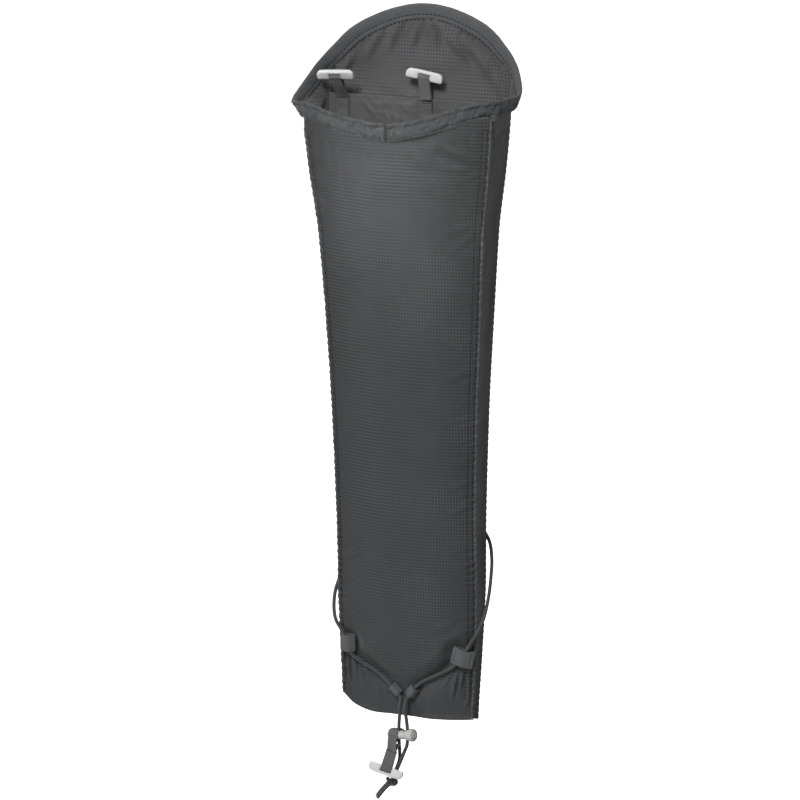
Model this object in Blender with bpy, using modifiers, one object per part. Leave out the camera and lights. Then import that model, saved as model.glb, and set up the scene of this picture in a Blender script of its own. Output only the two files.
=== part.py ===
"""Slim gear sleeve with a hooded mouth, two toggles to hang it by and a
drawcord with a cord lock and a third toggle at its foot.

Metres, +Z up, +X to the wearer's right of the sleeve, -Y is the front.
The origin is the middle of the hanger panel's top edge, the edge that the two
toggles hang the sleeve from.
"""

import math

import bmesh
import bpy
from mathutils import Matrix, Vector

# ---------------------------------------------------------------- dimensions
SLEEVE_FOOT_Z = -0.536          # bottom edge below the hanging edge
LEFT_CORNER_RISE = 0.0145       # the -X bottom corner is drawn up by its seam
RIGHT_CORNER_RISE = 0.0030
LEFT_FOOT_SPREAD = 0.0045       # and stands out a little further
LIP_SKEW = 0.112                # the front of the mouth hangs higher on +X,
MOUTH_SKEW = 0.055              # and so, by less, do its ears and the hood

# height, half width, depth of the front seams in front of the back panel
SECTIONS = (
    (0.000, 0.0785, 0.0560),
    (-0.050, 0.0750, 0.0520),
    (-0.100, 0.0695, 0.0465),
    (-0.170, 0.0660, 0.0400),
    (-0.250, 0.0625, 0.0360),
    (-0.350, 0.0605, 0.0310),
    (-0.420, 0.0605, 0.0260),
    (-0.470, 0.0584, 0.0215),
    (-0.540, 0.0550, 0.0185),
)
# height, how far the middle of the front panel bows out past its seams
BOWS = ((0.0, 0.0085), (-0.10, 0.0100), (-0.30, 0.0110), (-0.47, 0.0120),
        (-0.515, 0.0060), (-0.540, 0.0030))

# The drawcord's V across the front panel
V_Z = -0.512
V_HALF_SPAN = 0.055
V_LEFT_RISE = 0.040              # of each arm, over half the span
V_RIGHT_RISE = 0.048
V_CURVE = 1.3
V_SURFACE_Y = -0.0220
V_WIDTH = 0.0135

# Keepers on the front panel: middle, slope of the tunnel below the +X axis in
# degrees, webbing across the tunnel, webbing along it
KEEPERS = {
    "right_side_keeper": ((0.0490, -0.0272, -0.4736), 102.0, 0.0190, 0.0150),
    "left_side_keeper": ((-0.0537, -0.0272, -0.4726), 90.0, 0.0130, 0.0150),
    "left_centre_keeper": ((-0.0117, -0.0261, -0.5113), 45.0, 0.0082, 0.0095),
    "right_centre_keeper": ((0.0037, -0.0261, -0.5110), 124.0, 0.0082, 0.0095),
}
KEEPER_PADS = tuple(
    (at[0], at[2], 0.62 * math.hypot(across, along) + 0.0015)
    for at, slope, across, along in KEEPERS.values()
)

# The mouth's rim from the front centre round to the top of the hood, on +X:
# free edge, then the edge that is sewn to the panels, then the line on the
# sleeve that the hood fabric comes down to
RIM_FREE = (
    (0.0000, -0.0655, -0.0070), (0.0200, -0.0650, -0.0045),
    (0.0450, -0.0620, 0.0010), (0.0680, -0.0560, 0.0065),
    (0.0835, -0.0490, 0.0068), (0.0920, -0.0410, 0.0065),
    (0.0950, -0.0310, 0.0085), (0.0938, -0.0225, 0.0135),
    (0.0900, -0.0140, 0.0205), (0.0840, -0.0060, 0.0300),
    (0.0750, 0.0010, 0.0410), (0.0600, 0.0060, 0.0560),
    (0.0430, 0.0095, 0.0655), (0.0210, 0.0115, 0.0730),
    (0.0000, 0.0120, 0.0756),
)
RIM_SEWN = (
    (0.0000, -0.0650, -0.0220), (0.0200, -0.0645, -0.0195),
    (0.0450, -0.0615, -0.0140), (0.0680, -0.0555, -0.0080),
    (0.0820, -0.0475, -0.0070), (0.0890, -0.0390, -0.0070),
    (0.0905, -0.0290, -0.0045), (0.0888, -0.0190, 0.0020),
    (0.0850, -0.0070, 0.0115), (0.0785, 0.0020, 0.0210),
    (0.0680, 0.0060, 0.0320), (0.0535, 0.0085, 0.0460),
    (0.0380, 0.0105, 0.0548), (0.0190, 0.0115, 0.0620),
    (0.0000, 0.0120, 0.0643),
)
HOOD_BASE = (
    (0.0000, -0.0640, -0.0225), (0.0200, -0.0635, -0.0200),
    (0.0450, -0.0610, -0.0145), (0.0680, -0.0560, -0.0080),
    (0.0790, -0.0530, -0.0075), (0.0795, -0.0400, -0.0075),
    (0.0795, -0.0270, -0.0070), (0.0793, -0.0140, -0.0065),
    (0.0785, -0.0030, -0.0050), (0.0740, 0.0016, -0.0030),
    (0.0640, 0.0022, -0.0030), (0.0500, 0.0022, -0.0030),
    (0.0360, 0.0022, -0.0030), (0.0180, 0.0022, -0.0030),
    (0.0000, 0.0022, -0.0030),
)
HOOD_ROW = 14                    # the row of the hood's top
EAR_ROW = 6                      # the row where the hood's hoop ends
HOOD_FOLD_Z = 0.020              # the hood's panel folds below this height
HEM_BUTT_X = -0.0075             # where the two ends of the hem meet

FABRIC_T = 0.0010
BAND_T = 0.0020
GAP = 0.0004

HANGER_HALF_W = 0.0760
HANGER_DEPTH = 0.1100
WEB_W = 0.0095                   # 10 mm webbing, as woven
WEB_T = 0.0009
CORD_D = 0.0030

# toggle bars: flat mouldings with a round rib that the webbing loop goes round
BAR_L = 0.0310
BAR_T = 0.0038
BAR_TOP = 0.0058                 # above the rib's axis
BAR_FOOT = 0.0019                # below it
RIB_R = 0.0017
NOTCH_HALF = 0.0055
NOTCH_TOP = 0.0036
LOOP_IN_R = 0.0020

# toggle: sewn point of the loop, middle of the bar's rib, tilt of the bar in degrees
TOGGLES = {
    "left": ((-0.0636, -0.0027, -0.0028), (-0.0664, -0.0125, 0.0162), 3.8),
    "right": ((0.0078, -0.0027, -0.0006), (0.0062, -0.0030, 0.0178), -9.0),
}

# cord lock: middle, yaw and rise of its barrel in degrees
LOCK_AT = (-0.0026, -0.0310, -0.5495)
LOCK_YAW = -18.0
LOCK_RISE = 11.0
LOCK_R = 0.0051
LOCK_NECK_R = 0.0042
LOCK_BORE_R = 0.0032
LOCK_ENDS = (-0.0140, 0.0120)
LOCK_NECK = (-0.0118, 0.0040)
PLUNGER_R = 0.0029
PLUNGER_TRAVEL = 0.0020
CORD_HOLE_R = 0.00205
# where each cord goes through the barrel, and how far its hole is drawn out
# towards the middle so that the lock slides up where the cords come together
LEFT_HOLE = (-0.0044, 0.0018)
RIGHT_HOLE = (0.0050, -0.0032)
LOCK_TRAVEL = 0.016
PULL_SEW = (-0.0112, -0.0360, -0.5638)
PULL_BAR = (-0.0155, -0.0375, -0.5803)
PULL_BAR_TILT = -13.5
KNOT_AT = (-0.0140, -0.0295, -0.5955)

CHARCOAL = (0.060, 0.063, 0.067, 1.0)
WEBBING = (0.080, 0.083, 0.088, 1.0)
CORD = (0.035, 0.036, 0.038, 1.0)
WHITE = (0.82, 0.83, 0.84, 1.0)
CLEAR = (0.60, 0.60, 0.57, 1.0)
STEEL = (0.60, 0.60, 0.60, 1.0)

# ---------------------------------------------------------------- scene setup
for old in list(bpy.data.objects):
    bpy.data.objects.remove(old, do_unlink=True)
parts = bpy.data.collections.new("gear_sleeve")
cutters = bpy.data.collections.new("cutters")
bpy.context.scene.collection.children.link(parts)
bpy.context.scene.collection.children.link(cutters)


def material(name, colour, roughness, metallic=0.0):
    made = bpy.data.materials.new(name)
    made.use_nodes = True
    shader = made.node_tree.nodes["Principled BSDF"]
    shader.inputs["Base Color"].default_value = colour
    shader.inputs["Roughness"].default_value = roughness
    shader.inputs["Metallic"].default_value = metallic
    return made


def add(name, data, look, group=None):
    obj = bpy.data.objects.new(name, data)
    (group or parts).objects.link(obj)
    if look:
        data.materials.append(material(name + "_mat", *look))
    return obj


FABRIC = (CHARCOAL, 0.7)
TAPE = (WEBBING, 0.75)


# ---------------------------------------------------------------- interpolation
def hermite(a, b, c, d, t):
    """Catmull-Rom from b to c."""
    return 0.5 * ((2 * b) + (c - a) * t + (2 * a - 5 * b + 4 * c - d) * t * t
                  + (3 * b - a - 3 * c + d) * t ** 3)


def by_height(table, z, column):
    rows = list(table)
    for i in range(len(rows) - 1):
        if z >= rows[i + 1][0] or i == len(rows) - 2:
            t = (rows[i][0] - z) / (rows[i][0] - rows[i + 1][0])
            t = max(0.0, min(1.0, t))
            before = rows[max(i - 1, 0)][column]
            after = rows[min(i + 2, len(rows) - 1)][column]
            return hermite(before, rows[i][column], rows[i + 1][column], after, t)


def half_width(z, side=1):
    spread = max(0.0, min(1.0, (-z - 0.40) / 0.13)) if side < 0 else 0.0
    return by_height(SECTIONS, z, 1) + LEFT_FOOT_SPREAD * spread


def seam_depth(z):
    return by_height(SECTIONS, z, 2)


def row_of(table, q, side):
    """Point q rows along a rim table, mirrored for side -1, with the mouth's skew."""
    i = min(int(q), HOOD_ROW - 1)
    t = q - i

    def at(j):
        if j < 0:
            p = table[-j]
            return Vector((-p[0], p[1], p[2]))
        if j > HOOD_ROW:
            p = table[2 * HOOD_ROW - j]
            return Vector((-p[0], p[1], p[2]))
        return Vector(table[j])

    a, b, c, d = at(i - 1), at(i), at(i + 1), at(i + 2)
    p = Vector(hermite(a[k], b[k], c[k], d[k], t) for k in range(3))
    p.x *= side
    lip = max(0.0, min(1.0, (4.0 - q) / 2.0))
    p.z += p.x * (MOUTH_SKEW + (LIP_SKEW - MOUTH_SKEW) * lip)
    return p


def sleeve_top(x):
    """Height of the front panel's upper edge under the hem."""
    side = 1 if x >= 0 else -1
    low, high = 0.0, 4.0
    for _ in range(30):
        mid = (low + high) / 2
        if abs(row_of(RIM_SEWN, mid, side).x) < abs(x):
            low = mid
        else:
            high = mid
    return row_of(RIM_SEWN, low, side).z


def v_line(x):
    rise = V_RIGHT_RISE if x > 0 else V_LEFT_RISE
    return V_Z + rise * (abs(x) / V_HALF_SPAN) ** V_CURVE


def front_y(x, z):
    """Surface of the front panel."""
    across = min(1.0, abs(x) / half_width(z, -1 if x < 0 else 1))
    bow = by_height(BOWS, z, 1)
    y = -seam_depth(z) - bow * (1 - across ** 2.4)
    pressed = math.exp(-(((z - v_line(x)) / V_WIDTH) ** 2))
    for px, pz, radius in KEEPER_PADS:
        pressed = max(pressed, math.exp(-((math.hypot(x - px, z - pz) / radius) ** 4)))
    return y + pressed * (V_SURFACE_Y - y)


def foot_z(x):
    if x < 0:
        return SLEEVE_FOOT_Z + LEFT_CORNER_RISE * (min(-x, 0.0595) / 0.0595) ** 5
    return SLEEVE_FOOT_Z + RIGHT_CORNER_RISE * (x / 0.055) ** 2


def smooth(points, step):
    """Points every step along a smooth curve through the given points."""
    given = [Vector(p) for p in points]
    given = [2 * given[0] - given[1]] + given + [2 * given[-1] - given[-2]]
    fine = []
    for i in range(1, len(given) - 2):
        for j in range(24):
            fine.append(Vector(
                hermite(given[i - 1][k], given[i][k], given[i + 1][k],
                        given[i + 2][k], j / 24) for k in range(3)))
    fine.append(given[-2])
    lengths = [0.0]
    for a, b in zip(fine, fine[1:]):
        lengths.append(lengths[-1] + (b - a).length)
    count = max(2, round(lengths[-1] / step))
    out, k = [], 0
    for i in range(count + 1):
        want = lengths[-1] * i / count
        while k < len(lengths) - 2 and lengths[k + 1] < want:
            k += 1
        t = (want - lengths[k]) / (lengths[k + 1] - lengths[k])
        out.append(fine[k].lerp(fine[k + 1], t))
    return out


# ---------------------------------------------------------------- shape makers
def sheet(name, across, along, place, thickness=FABRIC_T, look=FABRIC, offset=0.0):
    """A curved sheet of fabric: place(u, v), u and v from 0 to 1, with Solidify."""
    bm = bmesh.new()
    bmesh.ops.create_grid(bm, x_segments=across, y_segments=along, size=0.5)
    for vert in bm.verts:
        vert.co = place(vert.co.x + 0.5, vert.co.y + 0.5)
    data = bpy.data.meshes.new(name)
    bm.to_mesh(data)
    bm.free()
    obj = add(name, data, look)
    thick = obj.modifiers.new("thickness", "SOLIDIFY")
    thick.thickness = thickness
    thick.offset = offset
    thick.use_even_offset = True
    return obj


def tube(name, points, radius, look, resolution=2, group=None):
    """A cord or wire along the points."""
    data = bpy.data.curves.new(name, "CURVE")
    data.dimensions = "3D"
    data.bevel_depth = radius
    data.bevel_resolution = resolution
    data.use_fill_caps = True
    spline = data.splines.new("POLY")
    spline.points.add(len(points) - 1)
    for point, co in zip(spline.points, points):
        point.co = (*co, 1.0)
    return add(name, data, look, group)


def prism(name, rings, half, frame, look, pivot=(0, 0, 0)):
    """Closed outlines in a plane, extruded to both sides, put in place by frame."""
    data = bpy.data.curves.new(name, "CURVE")
    data.dimensions = "2D"
    data.fill_mode = "BOTH"
    data.extrude = half
    for ring in rings:
        spline = data.splines.new("POLY")
        spline.points.add(len(ring) - 1)
        for point, co in zip(spline.points, ring):
            point.co = (co[0], co[1], 0.0, 1.0)
        spline.use_cyclic_u = True
    shape = bpy.data.objects.new(name + "_outline", data)
    parts.objects.link(shape)
    bpy.context.view_layer.update()
    graph = bpy.context.evaluated_depsgraph_get()
    mesh = bpy.data.meshes.new_from_object(shape.evaluated_get(graph))
    bpy.data.objects.remove(shape, do_unlink=True)
    bm = bmesh.new()
    bm.from_mesh(mesh)
    bmesh.ops.remove_doubles(bm, verts=bm.verts, dist=0.00001)
    bm.to_mesh(mesh)
    bm.free()
    mesh.materials.clear()
    mesh.transform(Matrix.Translation(-Vector(pivot)) @ frame)
    if frame.to_3x3().determinant() < 0:
        mesh.flip_normals()
    obj = add(name, mesh, look)
    obj.location = pivot
    return obj


def turned(name, profile, frame, look, steps=20, group=None, pivot=(0, 0, 0)):
    """A profile of (radius, height) turned round its axis, then put in place."""
    data = bpy.data.meshes.new(name)
    bm = bmesh.new()
    last = None
    for r, h in profile:
        vert = bm.verts.new((r, 0.0, h))
        if last:
            bm.edges.new((last, vert))
        last = vert
    bm.to_mesh(data)
    bm.free()
    spun = bpy.data.objects.new(name + "_profile", data)
    parts.objects.link(spun)
    screw = spun.modifiers.new("turn", "SCREW")
    screw.steps = screw.render_steps = steps
    screw.use_merge_vertices = True
    screw.merge_threshold = 0.00001
    bpy.context.view_layer.update()
    graph = bpy.context.evaluated_depsgraph_get()
    mesh = bpy.data.meshes.new_from_object(spun.evaluated_get(graph))
    bpy.data.objects.remove(spun, do_unlink=True)
    bm = bmesh.new()
    bm.from_mesh(mesh)
    bmesh.ops.recalc_face_normals(bm, faces=bm.faces)
    if bm.calc_volume(signed=True) < 0:
        bmesh.ops.reverse_faces(bm, faces=bm.faces)
    bm.to_mesh(mesh)
    bm.free()
    mesh.transform(Matrix.Translation(-Vector(pivot)) @ frame)
    mesh.shade_smooth()
    mesh.set_sharp_from_angle(angle=math.radians(40))
    obj = add(name, mesh, look, group)
    obj.location = pivot
    return obj


def cut(obj, cutter):
    cutter.hide_render = True
    cutter.display_type = "WIRE"
    hole = obj.modifiers.new("cut_" + cutter.name, "BOOLEAN")
    hole.operation = "DIFFERENCE"
    hole.object = cutter
    hole.solver = "EXACT"


def axes(origin, x, y, z):
    """Frame with the given axes as columns."""
    m = Matrix.Identity(4)
    for column, axis in enumerate((x, y, z)):
        for row in range(3):
            m[row][column] = axis[row]
    for row in range(3):
        m[row][3] = origin[row]
    return m


def along(axis, origin):
    """Frame whose z is the axis."""
    z = Vector(axis).normalized()
    x = Vector((0, 0, 1)).cross(z)
    x = x.normalized() if x.length > 1e-6 else Vector((1, 0, 0))
    return axes(origin, x, z.cross(x), z)


# ---------------------------------------------------------------- sleeve panels
CORNER = 0.0016                  # panels stop this far from the bound seams


def front_panel(u, v):
    side = -1 if u < 0.5 else 1
    share = 2 * u - 1
    top = sleeve_top(share * (half_width(-0.02, side) - CORNER)) - BAND_T / 2 + 0.0004
    low = foot_z(share * (half_width(SLEEVE_FOOT_Z, side) - CORNER))
    z = low + (top - low) * v ** 0.92
    x = share * (half_width(z, side) - CORNER)
    return Vector((x, front_y(x, z), z))


sheet("front_panel", 18, 62, front_panel)


def gusset(side):
    def place(u, v):
        top = -0.0110 + MOUTH_SKEW * 0.079 * side
        front_low = foot_z(side * 0.0590) + 0.0004
        back_low = SLEEVE_FOOT_Z + (LEFT_CORNER_RISE if side < 0 else -0.0045)
        low = front_low + (back_low - front_low) * u
        z = low + (top - low) * v
        depth = seam_depth(z)
        y = -depth + CORNER + (depth - CORNER - 0.0004) * u
        sag = 0.0018 * math.sin(math.pi * u) * min(1.0, -z / 0.1)
        return Vector((side * (half_width(z, side) - sag), y, z))
    return place


sheet("left_gusset", 6, 44, gusset(-1))
sheet("right_gusset", 6, 44, gusset(1))


def back_outline():
    pts = []
    n = 26
    for i in range(n + 1):
        z = -0.0045 + (SLEEVE_FOOT_Z + 0.0045) * i / n
        pts.append((half_width(z) - 0.0004, z))
    for i in range(n, -1, -1):
        z = -0.0045 + (SLEEVE_FOOT_Z + 0.0045) * i / n
        low = z + (LEFT_CORNER_RISE if i == n else 0.0)
        pts.append((-half_width(low, -1) + 0.0004, low))
    return pts


# The back panel is flat: it is the face that lies on what carries the sleeve
upright = axes((0, 0.0011, 0), (1, 0, 0), (0, 0, 1), (0, -1, 0))
prism("back_panel", [back_outline()], 0.0005, upright, FABRIC)


def hanger_outline():
    return [(-HANGER_HALF_W, -HANGER_DEPTH + 0.004), (-HANGER_HALF_W + 0.004, -HANGER_DEPTH),
            (HANGER_HALF_W - 0.010, -HANGER_DEPTH), (HANGER_HALF_W - 0.006, -HANGER_DEPTH + 0.004),
            (HANGER_HALF_W - 0.001, -0.001), (HANGER_HALF_W - 0.002, 0.0),
            (-HANGER_HALF_W + 0.002, 0.0), (-HANGER_HALF_W, -0.001)]


def hanger():
    pts = []
    for x, z in hanger_outline():
        w = half_width(z) - 0.0016
        pts.append((max(-w, min(w, x)), z))
    return pts


prism("hanger_panel", [hanger()], 0.0005,
      axes((0, -0.0005, 0), (1, 0, 0), (0, 0, 1), (0, -1, 0)), FABRIC)


def floor_panel(u, v):
    x = -0.0560 + 0.1080 * u
    z = foot_z(x) + 0.0012
    front = front_y(x, max(z, SLEEVE_FOOT_Z)) + 0.0012
    return Vector((x, front + (-0.0008 - front) * v, z + 0.002 * v))


sheet("floor_panel", 14, 3, floor_panel)


def seam_points(side):
    pts = []
    high = -0.0135 + MOUTH_SKEW * 0.079 * side
    low = foot_z(side * 0.0590)
    for i in range(40):
        z = high + (low - high) * i / 39
        pts.append((side * (half_width(z, side) + 0.0002), -seam_depth(z) - 0.0002, z))
    return pts


tube("left_front_seam_binding", seam_points(-1), 0.0011, TAPE, 1)
tube("right_front_seam_binding", seam_points(1), 0.0011, TAPE, 1)


# ---------------------------------------------------------------- mouth and hood
def butt_row():
    low, high = 0.0, 2.0
    for _ in range(30):
        mid = (low + high) / 2
        low, high = (mid, high) if row_of(RIM_FREE, mid, 1).x < -HEM_BUTT_X else (low, mid)
    return low


BUTT = butt_row()


def hem(side):
    """The front hem from the butt joint out to the ear."""
    start = BUTT + 0.025 if side < 0 else -BUTT + 0.025

    def place(u, v):
        q = start + (EAR_ROW - 0.10 - start) * u
        s = side if q >= 0 else -side
        free = row_of(RIM_FREE, abs(q), s)
        sewn = row_of(RIM_SEWN, abs(q), s)
        p = free.lerp(sewn, v)
        return p
    return place


sheet("front_hem_left", 22, 3, hem(-1), BAND_T)
sheet("front_hem_right", 24, 3, hem(1), BAND_T)


def hoop(first, last, outward):
    """Along the hood's hoop, between two shares of its width."""
    def place(u, v):
        p = -8 + 0.10 + (16 - 0.20) * u
        q, s = HOOD_ROW - abs(p), (1 if p >= 0 else -1)
        free, sewn = row_of(RIM_FREE, q, s), row_of(RIM_SEWN, q, s)
        at = free.lerp(sewn, first + (last - first) * v)
        ahead = row_of(RIM_FREE, min(HOOD_ROW, q + 0.05), s) - row_of(RIM_FREE, max(0, q - 0.05), s)
        normal = ahead.cross(sewn - free).normalized() * s
        if normal.y < 0:
            normal = -normal
        return at + normal * outward
    return place


sheet("hood_rim_band", 44, 3, hoop(0.0, 1.0, -0.0006), 0.0010)
sheet("hood_rim_stiffener", 44, 2, hoop(0.14, 0.86, 0.0007), 0.0008, (WHITE, 0.5))


def hood_base(q, s):
    """The line that the hood comes down to, level along the back."""
    p = row_of(HOOD_BASE, q, s)
    level = max(0.0, min(1.0, q - 7.0))
    p.z += level * (-0.0030 - p.z)
    return p


def fold_share(q, s):
    """Share of the way up the hood fabric where it folds."""
    base, top = hood_base(q, s).z, row_of(RIM_SEWN, q, s).z
    z = HOOD_FOLD_Z + MOUTH_SKEW * row_of(RIM_SEWN, q, s).x
    return min(1.0, (z - base) / (top - base))


def hood_surface(q, s, share):
    base, top = hood_base(q, s), row_of(RIM_SEWN, q, s)
    p = base.lerp(top, share)
    if q > 8:
        p.y += 0.003 * math.sin(math.pi * share) * min(1.0, (q - 8) / 2)
    return p


def hood_upper(u, v):
    p = (2 * u - 1) * 4.5
    q, s = HOOD_ROW - abs(p), (1 if p >= 0 else -1)
    low = fold_share(q, s) + 0.012
    return hood_surface(q, s, low + (0.970 - low) * v)


def hood_lower(u, v):
    p = (2 * u - 1) * 8.6
    q, s = HOOD_ROW - abs(p), (1 if p >= 0 else -1)
    if q > 9.3:
        top = fold_share(q, s) - 0.012
    else:
        top = 0.90
    return hood_surface(q, s, 0.02 + (top - 0.02) * v)


sheet("hood_panel_upper", 30, 8, hood_upper)
sheet("hood_panel_fold", 48, 5, hood_lower)


# ---------------------------------------------------------------- toggles
def bar_outline():
    """Bar with rounded ends, and a notch from its foot up to clear the webbing."""
    half = BAR_L / 2
    right = []
    for i in range(4):
        a = math.radians(-90 + 90 * i / 3)
        right.append((half - 0.0013 + 0.0013 * math.cos(a), -BAR_FOOT + 0.0013 + 0.0013 * math.sin(a)))
    for i in range(6):
        a = math.radians(90 * i / 5)
        right.append((half - 0.0036 + 0.0036 * math.cos(a), BAR_TOP - 0.0038 + 0.0036 * math.sin(a)))
    right.append((0.0070, BAR_TOP))
    left = [(-x, y) for x, y in reversed(right)]
    notch = [(-NOTCH_HALF, -BAR_FOOT), (-NOTCH_HALF, NOTCH_TOP - 0.0003), (-NOTCH_HALF + 0.0003, NOTCH_TOP),
             (NOTCH_HALF - 0.0003, NOTCH_TOP), (NOTCH_HALF, NOTCH_TOP - 0.0003), (NOTCH_HALF, -BAR_FOOT)]
    return right + left + notch


def toggle_bar(name, at, axis, up):
    """Flat bar along the axis, its solid side towards up, with the rib across its notch."""
    bar = prism(name, [bar_outline()], BAR_T / 2, axes(at, axis, up, axis.cross(up)), (WHITE, 0.35), at)
    reach = NOTCH_HALF + 0.0007
    rib = turned(name + "_rib", [(0.0, reach), (RIB_R, reach), (RIB_R, -reach), (0.0, -reach)],
                 along(axis, at), None, 16, cutters, at)
    rib.hide_render = True
    joined = bar.modifiers.new("rib", "BOOLEAN")
    joined.operation = "UNION"
    joined.object = rib
    joined.solver = "EXACT"


def teardrop(radius, length, leg, tail):
    """Outline of a loop round a bar at (0, 0), its legs meeting at (0, -length)."""
    pts = []
    start = math.radians(-38)
    n = 14
    for i in range(n + 1):
        a = start + (math.pi - 2 * start) * i / n
        pts.append((radius * math.cos(a), radius * math.sin(a)))
    pts.append((-leg, -length))
    if tail:
        pts.append((leg, -length))
    return pts


def loop_rings(length, inner, legs=0.00105):
    outer = teardrop(inner + WEB_T, length, legs, True)
    hole = teardrop(inner, length - 0.0045, 0.00025, True)
    return [outer, hole]


def toggle(side):
    sewn, bar, tilt = TOGGLES[side]
    sewn, bar = Vector(sewn), Vector(bar)
    axis = Vector((math.cos(math.radians(tilt)), 0, math.sin(math.radians(tilt))))
    rise = (bar - sewn)
    length = rise.length - 0.0006
    up = rise.normalized()
    side_way = up.cross(axis).normalized()
    frame = axes(bar, side_way, up, axis)
    prism(f"{side}_toggle_loop", loop_rings(length, LOOP_IN_R), WEB_W / 2, frame, TAPE, sewn)
    toggle_bar(f"{side}_toggle_bar", bar, axis, (up - axis * up.dot(axis)).normalized())
    strap = [(-WEB_W / 2, -0.030), (WEB_W / 2, -0.030), (WEB_W / 2, -0.0022), (-WEB_W / 2, -0.0022)]
    prism(f"{side}_toggle_strap", [strap], WEB_T / 2,
          axes((sewn.x, sewn.y, sewn.z), (1, 0, 0), (0, 0, 1), (0, -1, 0)), TAPE)


toggle("left")
toggle("right")


# ---------------------------------------------------------------- cord keepers
def flat_loop(across, inside):
    """Outline of a flattened webbing loop lying on the fabric, with its tunnel."""
    h = inside / 2
    w = across / 2

    def ring(w, h):
        pts = []
        for cx, cy, a0 in ((w - h, 0, -90), (-(w - h), 0, 90)):
            for i in range(7):
                a = math.radians(a0 + 180 * i / 6)
                pts.append((cx + h * math.cos(a), cy + h * math.sin(a)))
        return pts

    return [ring(w, h + WEB_T), ring(w - WEB_T, h)]


def keeper(name, at, slope, across, width, inside=0.0040, lean=0.0):
    """Tunnel along the cord: slope in degrees below the +X axis, in the XZ plane."""
    a = math.radians(slope)
    tunnel = Vector((math.cos(a), 0, -math.sin(a)))
    out = Vector((math.sin(math.radians(lean)), -math.cos(math.radians(lean)), 0))
    tunnel = (tunnel - out * tunnel.dot(out)).normalized()
    wide = out.cross(tunnel).normalized()
    prism(name, flat_loop(across, inside), width / 2, axes(at, wide, out, tunnel), TAPE)


for keeper_name, (keeper_at, keeper_slope, keeper_across, keeper_along) in KEEPERS.items():
    keeper(keeper_name, keeper_at, keeper_slope, keeper_across, keeper_along)

# behind: one keeper on the back panel that the cord hangs from
back_at = (0.0, 0.0062, -0.3430)
prism("back_keeper", flat_loop(0.0125, 0.0046), WEB_W / 2,
      axes(back_at, (0, 0, 1), (0, 1, 0), (-1, 0, 0)), TAPE)

# ---------------------------------------------------------------- drawcord
HELD = (
    (-0.0074, -0.0262, -0.5156), (-0.0117, -0.0261, -0.5113), (-0.0175, -0.0257, -0.5055),
    (-0.0248, -0.0251, -0.4990), (-0.0345, -0.0251, -0.4932), (-0.0445, -0.0262, -0.4873),
    (-0.0511, -0.0271, -0.4812), (-0.0542, -0.0272, -0.4726), (-0.0575, -0.0272, -0.4638),
    (-0.0646, -0.0258, -0.4530), (-0.0684, -0.0195, -0.4430), (-0.0698, -0.0110, -0.4320),
    (-0.0680, -0.0020, -0.4210), (-0.0635, 0.0042, -0.4080), (-0.0530, 0.0060, -0.3900),
    (-0.0370, 0.0062, -0.3680), (-0.0190, 0.0062, -0.3500), (0.0000, 0.0062, -0.3425),
    (0.0190, 0.0062, -0.3440), (0.0380, 0.0062, -0.3530), (0.0530, 0.0060, -0.3650),
    (0.0625, 0.0035, -0.3770), (0.0672, -0.0040, -0.3900), (0.0690, -0.0120, -0.4030),
    (0.0692, -0.0190, -0.4180), (0.0672, -0.0240, -0.4340), (0.0625, -0.0262, -0.4480),
    (0.0568, -0.0270, -0.4580), (0.0520, -0.0272, -0.4670), (0.0465, -0.0272, -0.4760),
    (0.0400, -0.0266, -0.4835), (0.0310, -0.0256, -0.4900), (0.0200, -0.0250, -0.4965),
    (0.0120, -0.0254, -0.5015), (0.0075, -0.0259, -0.5060), (0.0037, -0.0261, -0.5110),
    (0.0005, -0.0262, -0.5157),
)
tube("shock_cord", smooth(HELD, 0.0085), CORD_D / 2, (CORD, 0.8))


def lock_axis():
    yaw, rise = math.radians(LOCK_YAW), math.radians(LOCK_RISE)
    return Vector((math.cos(rise) * math.cos(yaw), math.cos(rise) * math.sin(yaw), math.sin(rise)))


AXIS = lock_axis()
LOCK = Vector(LOCK_AT)
LEFT_IN = LOCK + AXIS * LEFT_HOLE[0]
RIGHT_IN = LOCK + AXIS * RIGHT_HOLE[0]

LEFT_TAIL = (
    (-0.0064, -0.0267, -0.5170), (-0.0059, -0.0277, -0.5190), (-0.0059, -0.0289, -0.5222),
    (-0.0062, -0.0297, -0.5265), (LEFT_IN.x + 0.0006, LEFT_IN.y, -0.5320),
    (LEFT_IN.x + 0.0001, LEFT_IN.y, -0.5410), (LEFT_IN.x, LEFT_IN.y, LEFT_IN.z),
    (LEFT_IN.x + 0.0003, LEFT_IN.y, -0.5590),
    (-0.0062, -0.0296, -0.5660), (-0.0066, -0.0288, -0.5735), (-0.0088, -0.0282, -0.5810),
    (-0.0114, -0.0278, -0.5870), (-0.0128, -0.0280, -0.5905),
)
RIGHT_TAIL = (
    (-0.0004, -0.0267, -0.5172), (-0.0009, -0.0279, -0.5192), (-0.0012, -0.0298, -0.5225),
    (-0.0011, -0.0318, -0.5268), (RIGHT_IN.x - 0.0016, RIGHT_IN.y + 0.0005, -0.5325),
    (RIGHT_IN.x - 0.0004, RIGHT_IN.y, -0.5410), (RIGHT_IN.x, RIGHT_IN.y, RIGHT_IN.z),
    (RIGHT_IN.x - 0.0006, RIGHT_IN.y, -0.5580),
    (-0.0012, -0.0325, -0.5655), (-0.0042, -0.0321, -0.5735), (-0.0072, -0.0316, -0.5810),
    (-0.0102, -0.0312, -0.5870), (-0.0118, -0.0313, -0.5902),
)
tube("left_cord_tail", smooth(LEFT_TAIL, 0.0050), CORD_D / 2, (CORD, 0.8))
tube("right_cord_tail", smooth(RIGHT_TAIL, 0.0050), CORD_D / 2, (CORD, 0.8))


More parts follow.
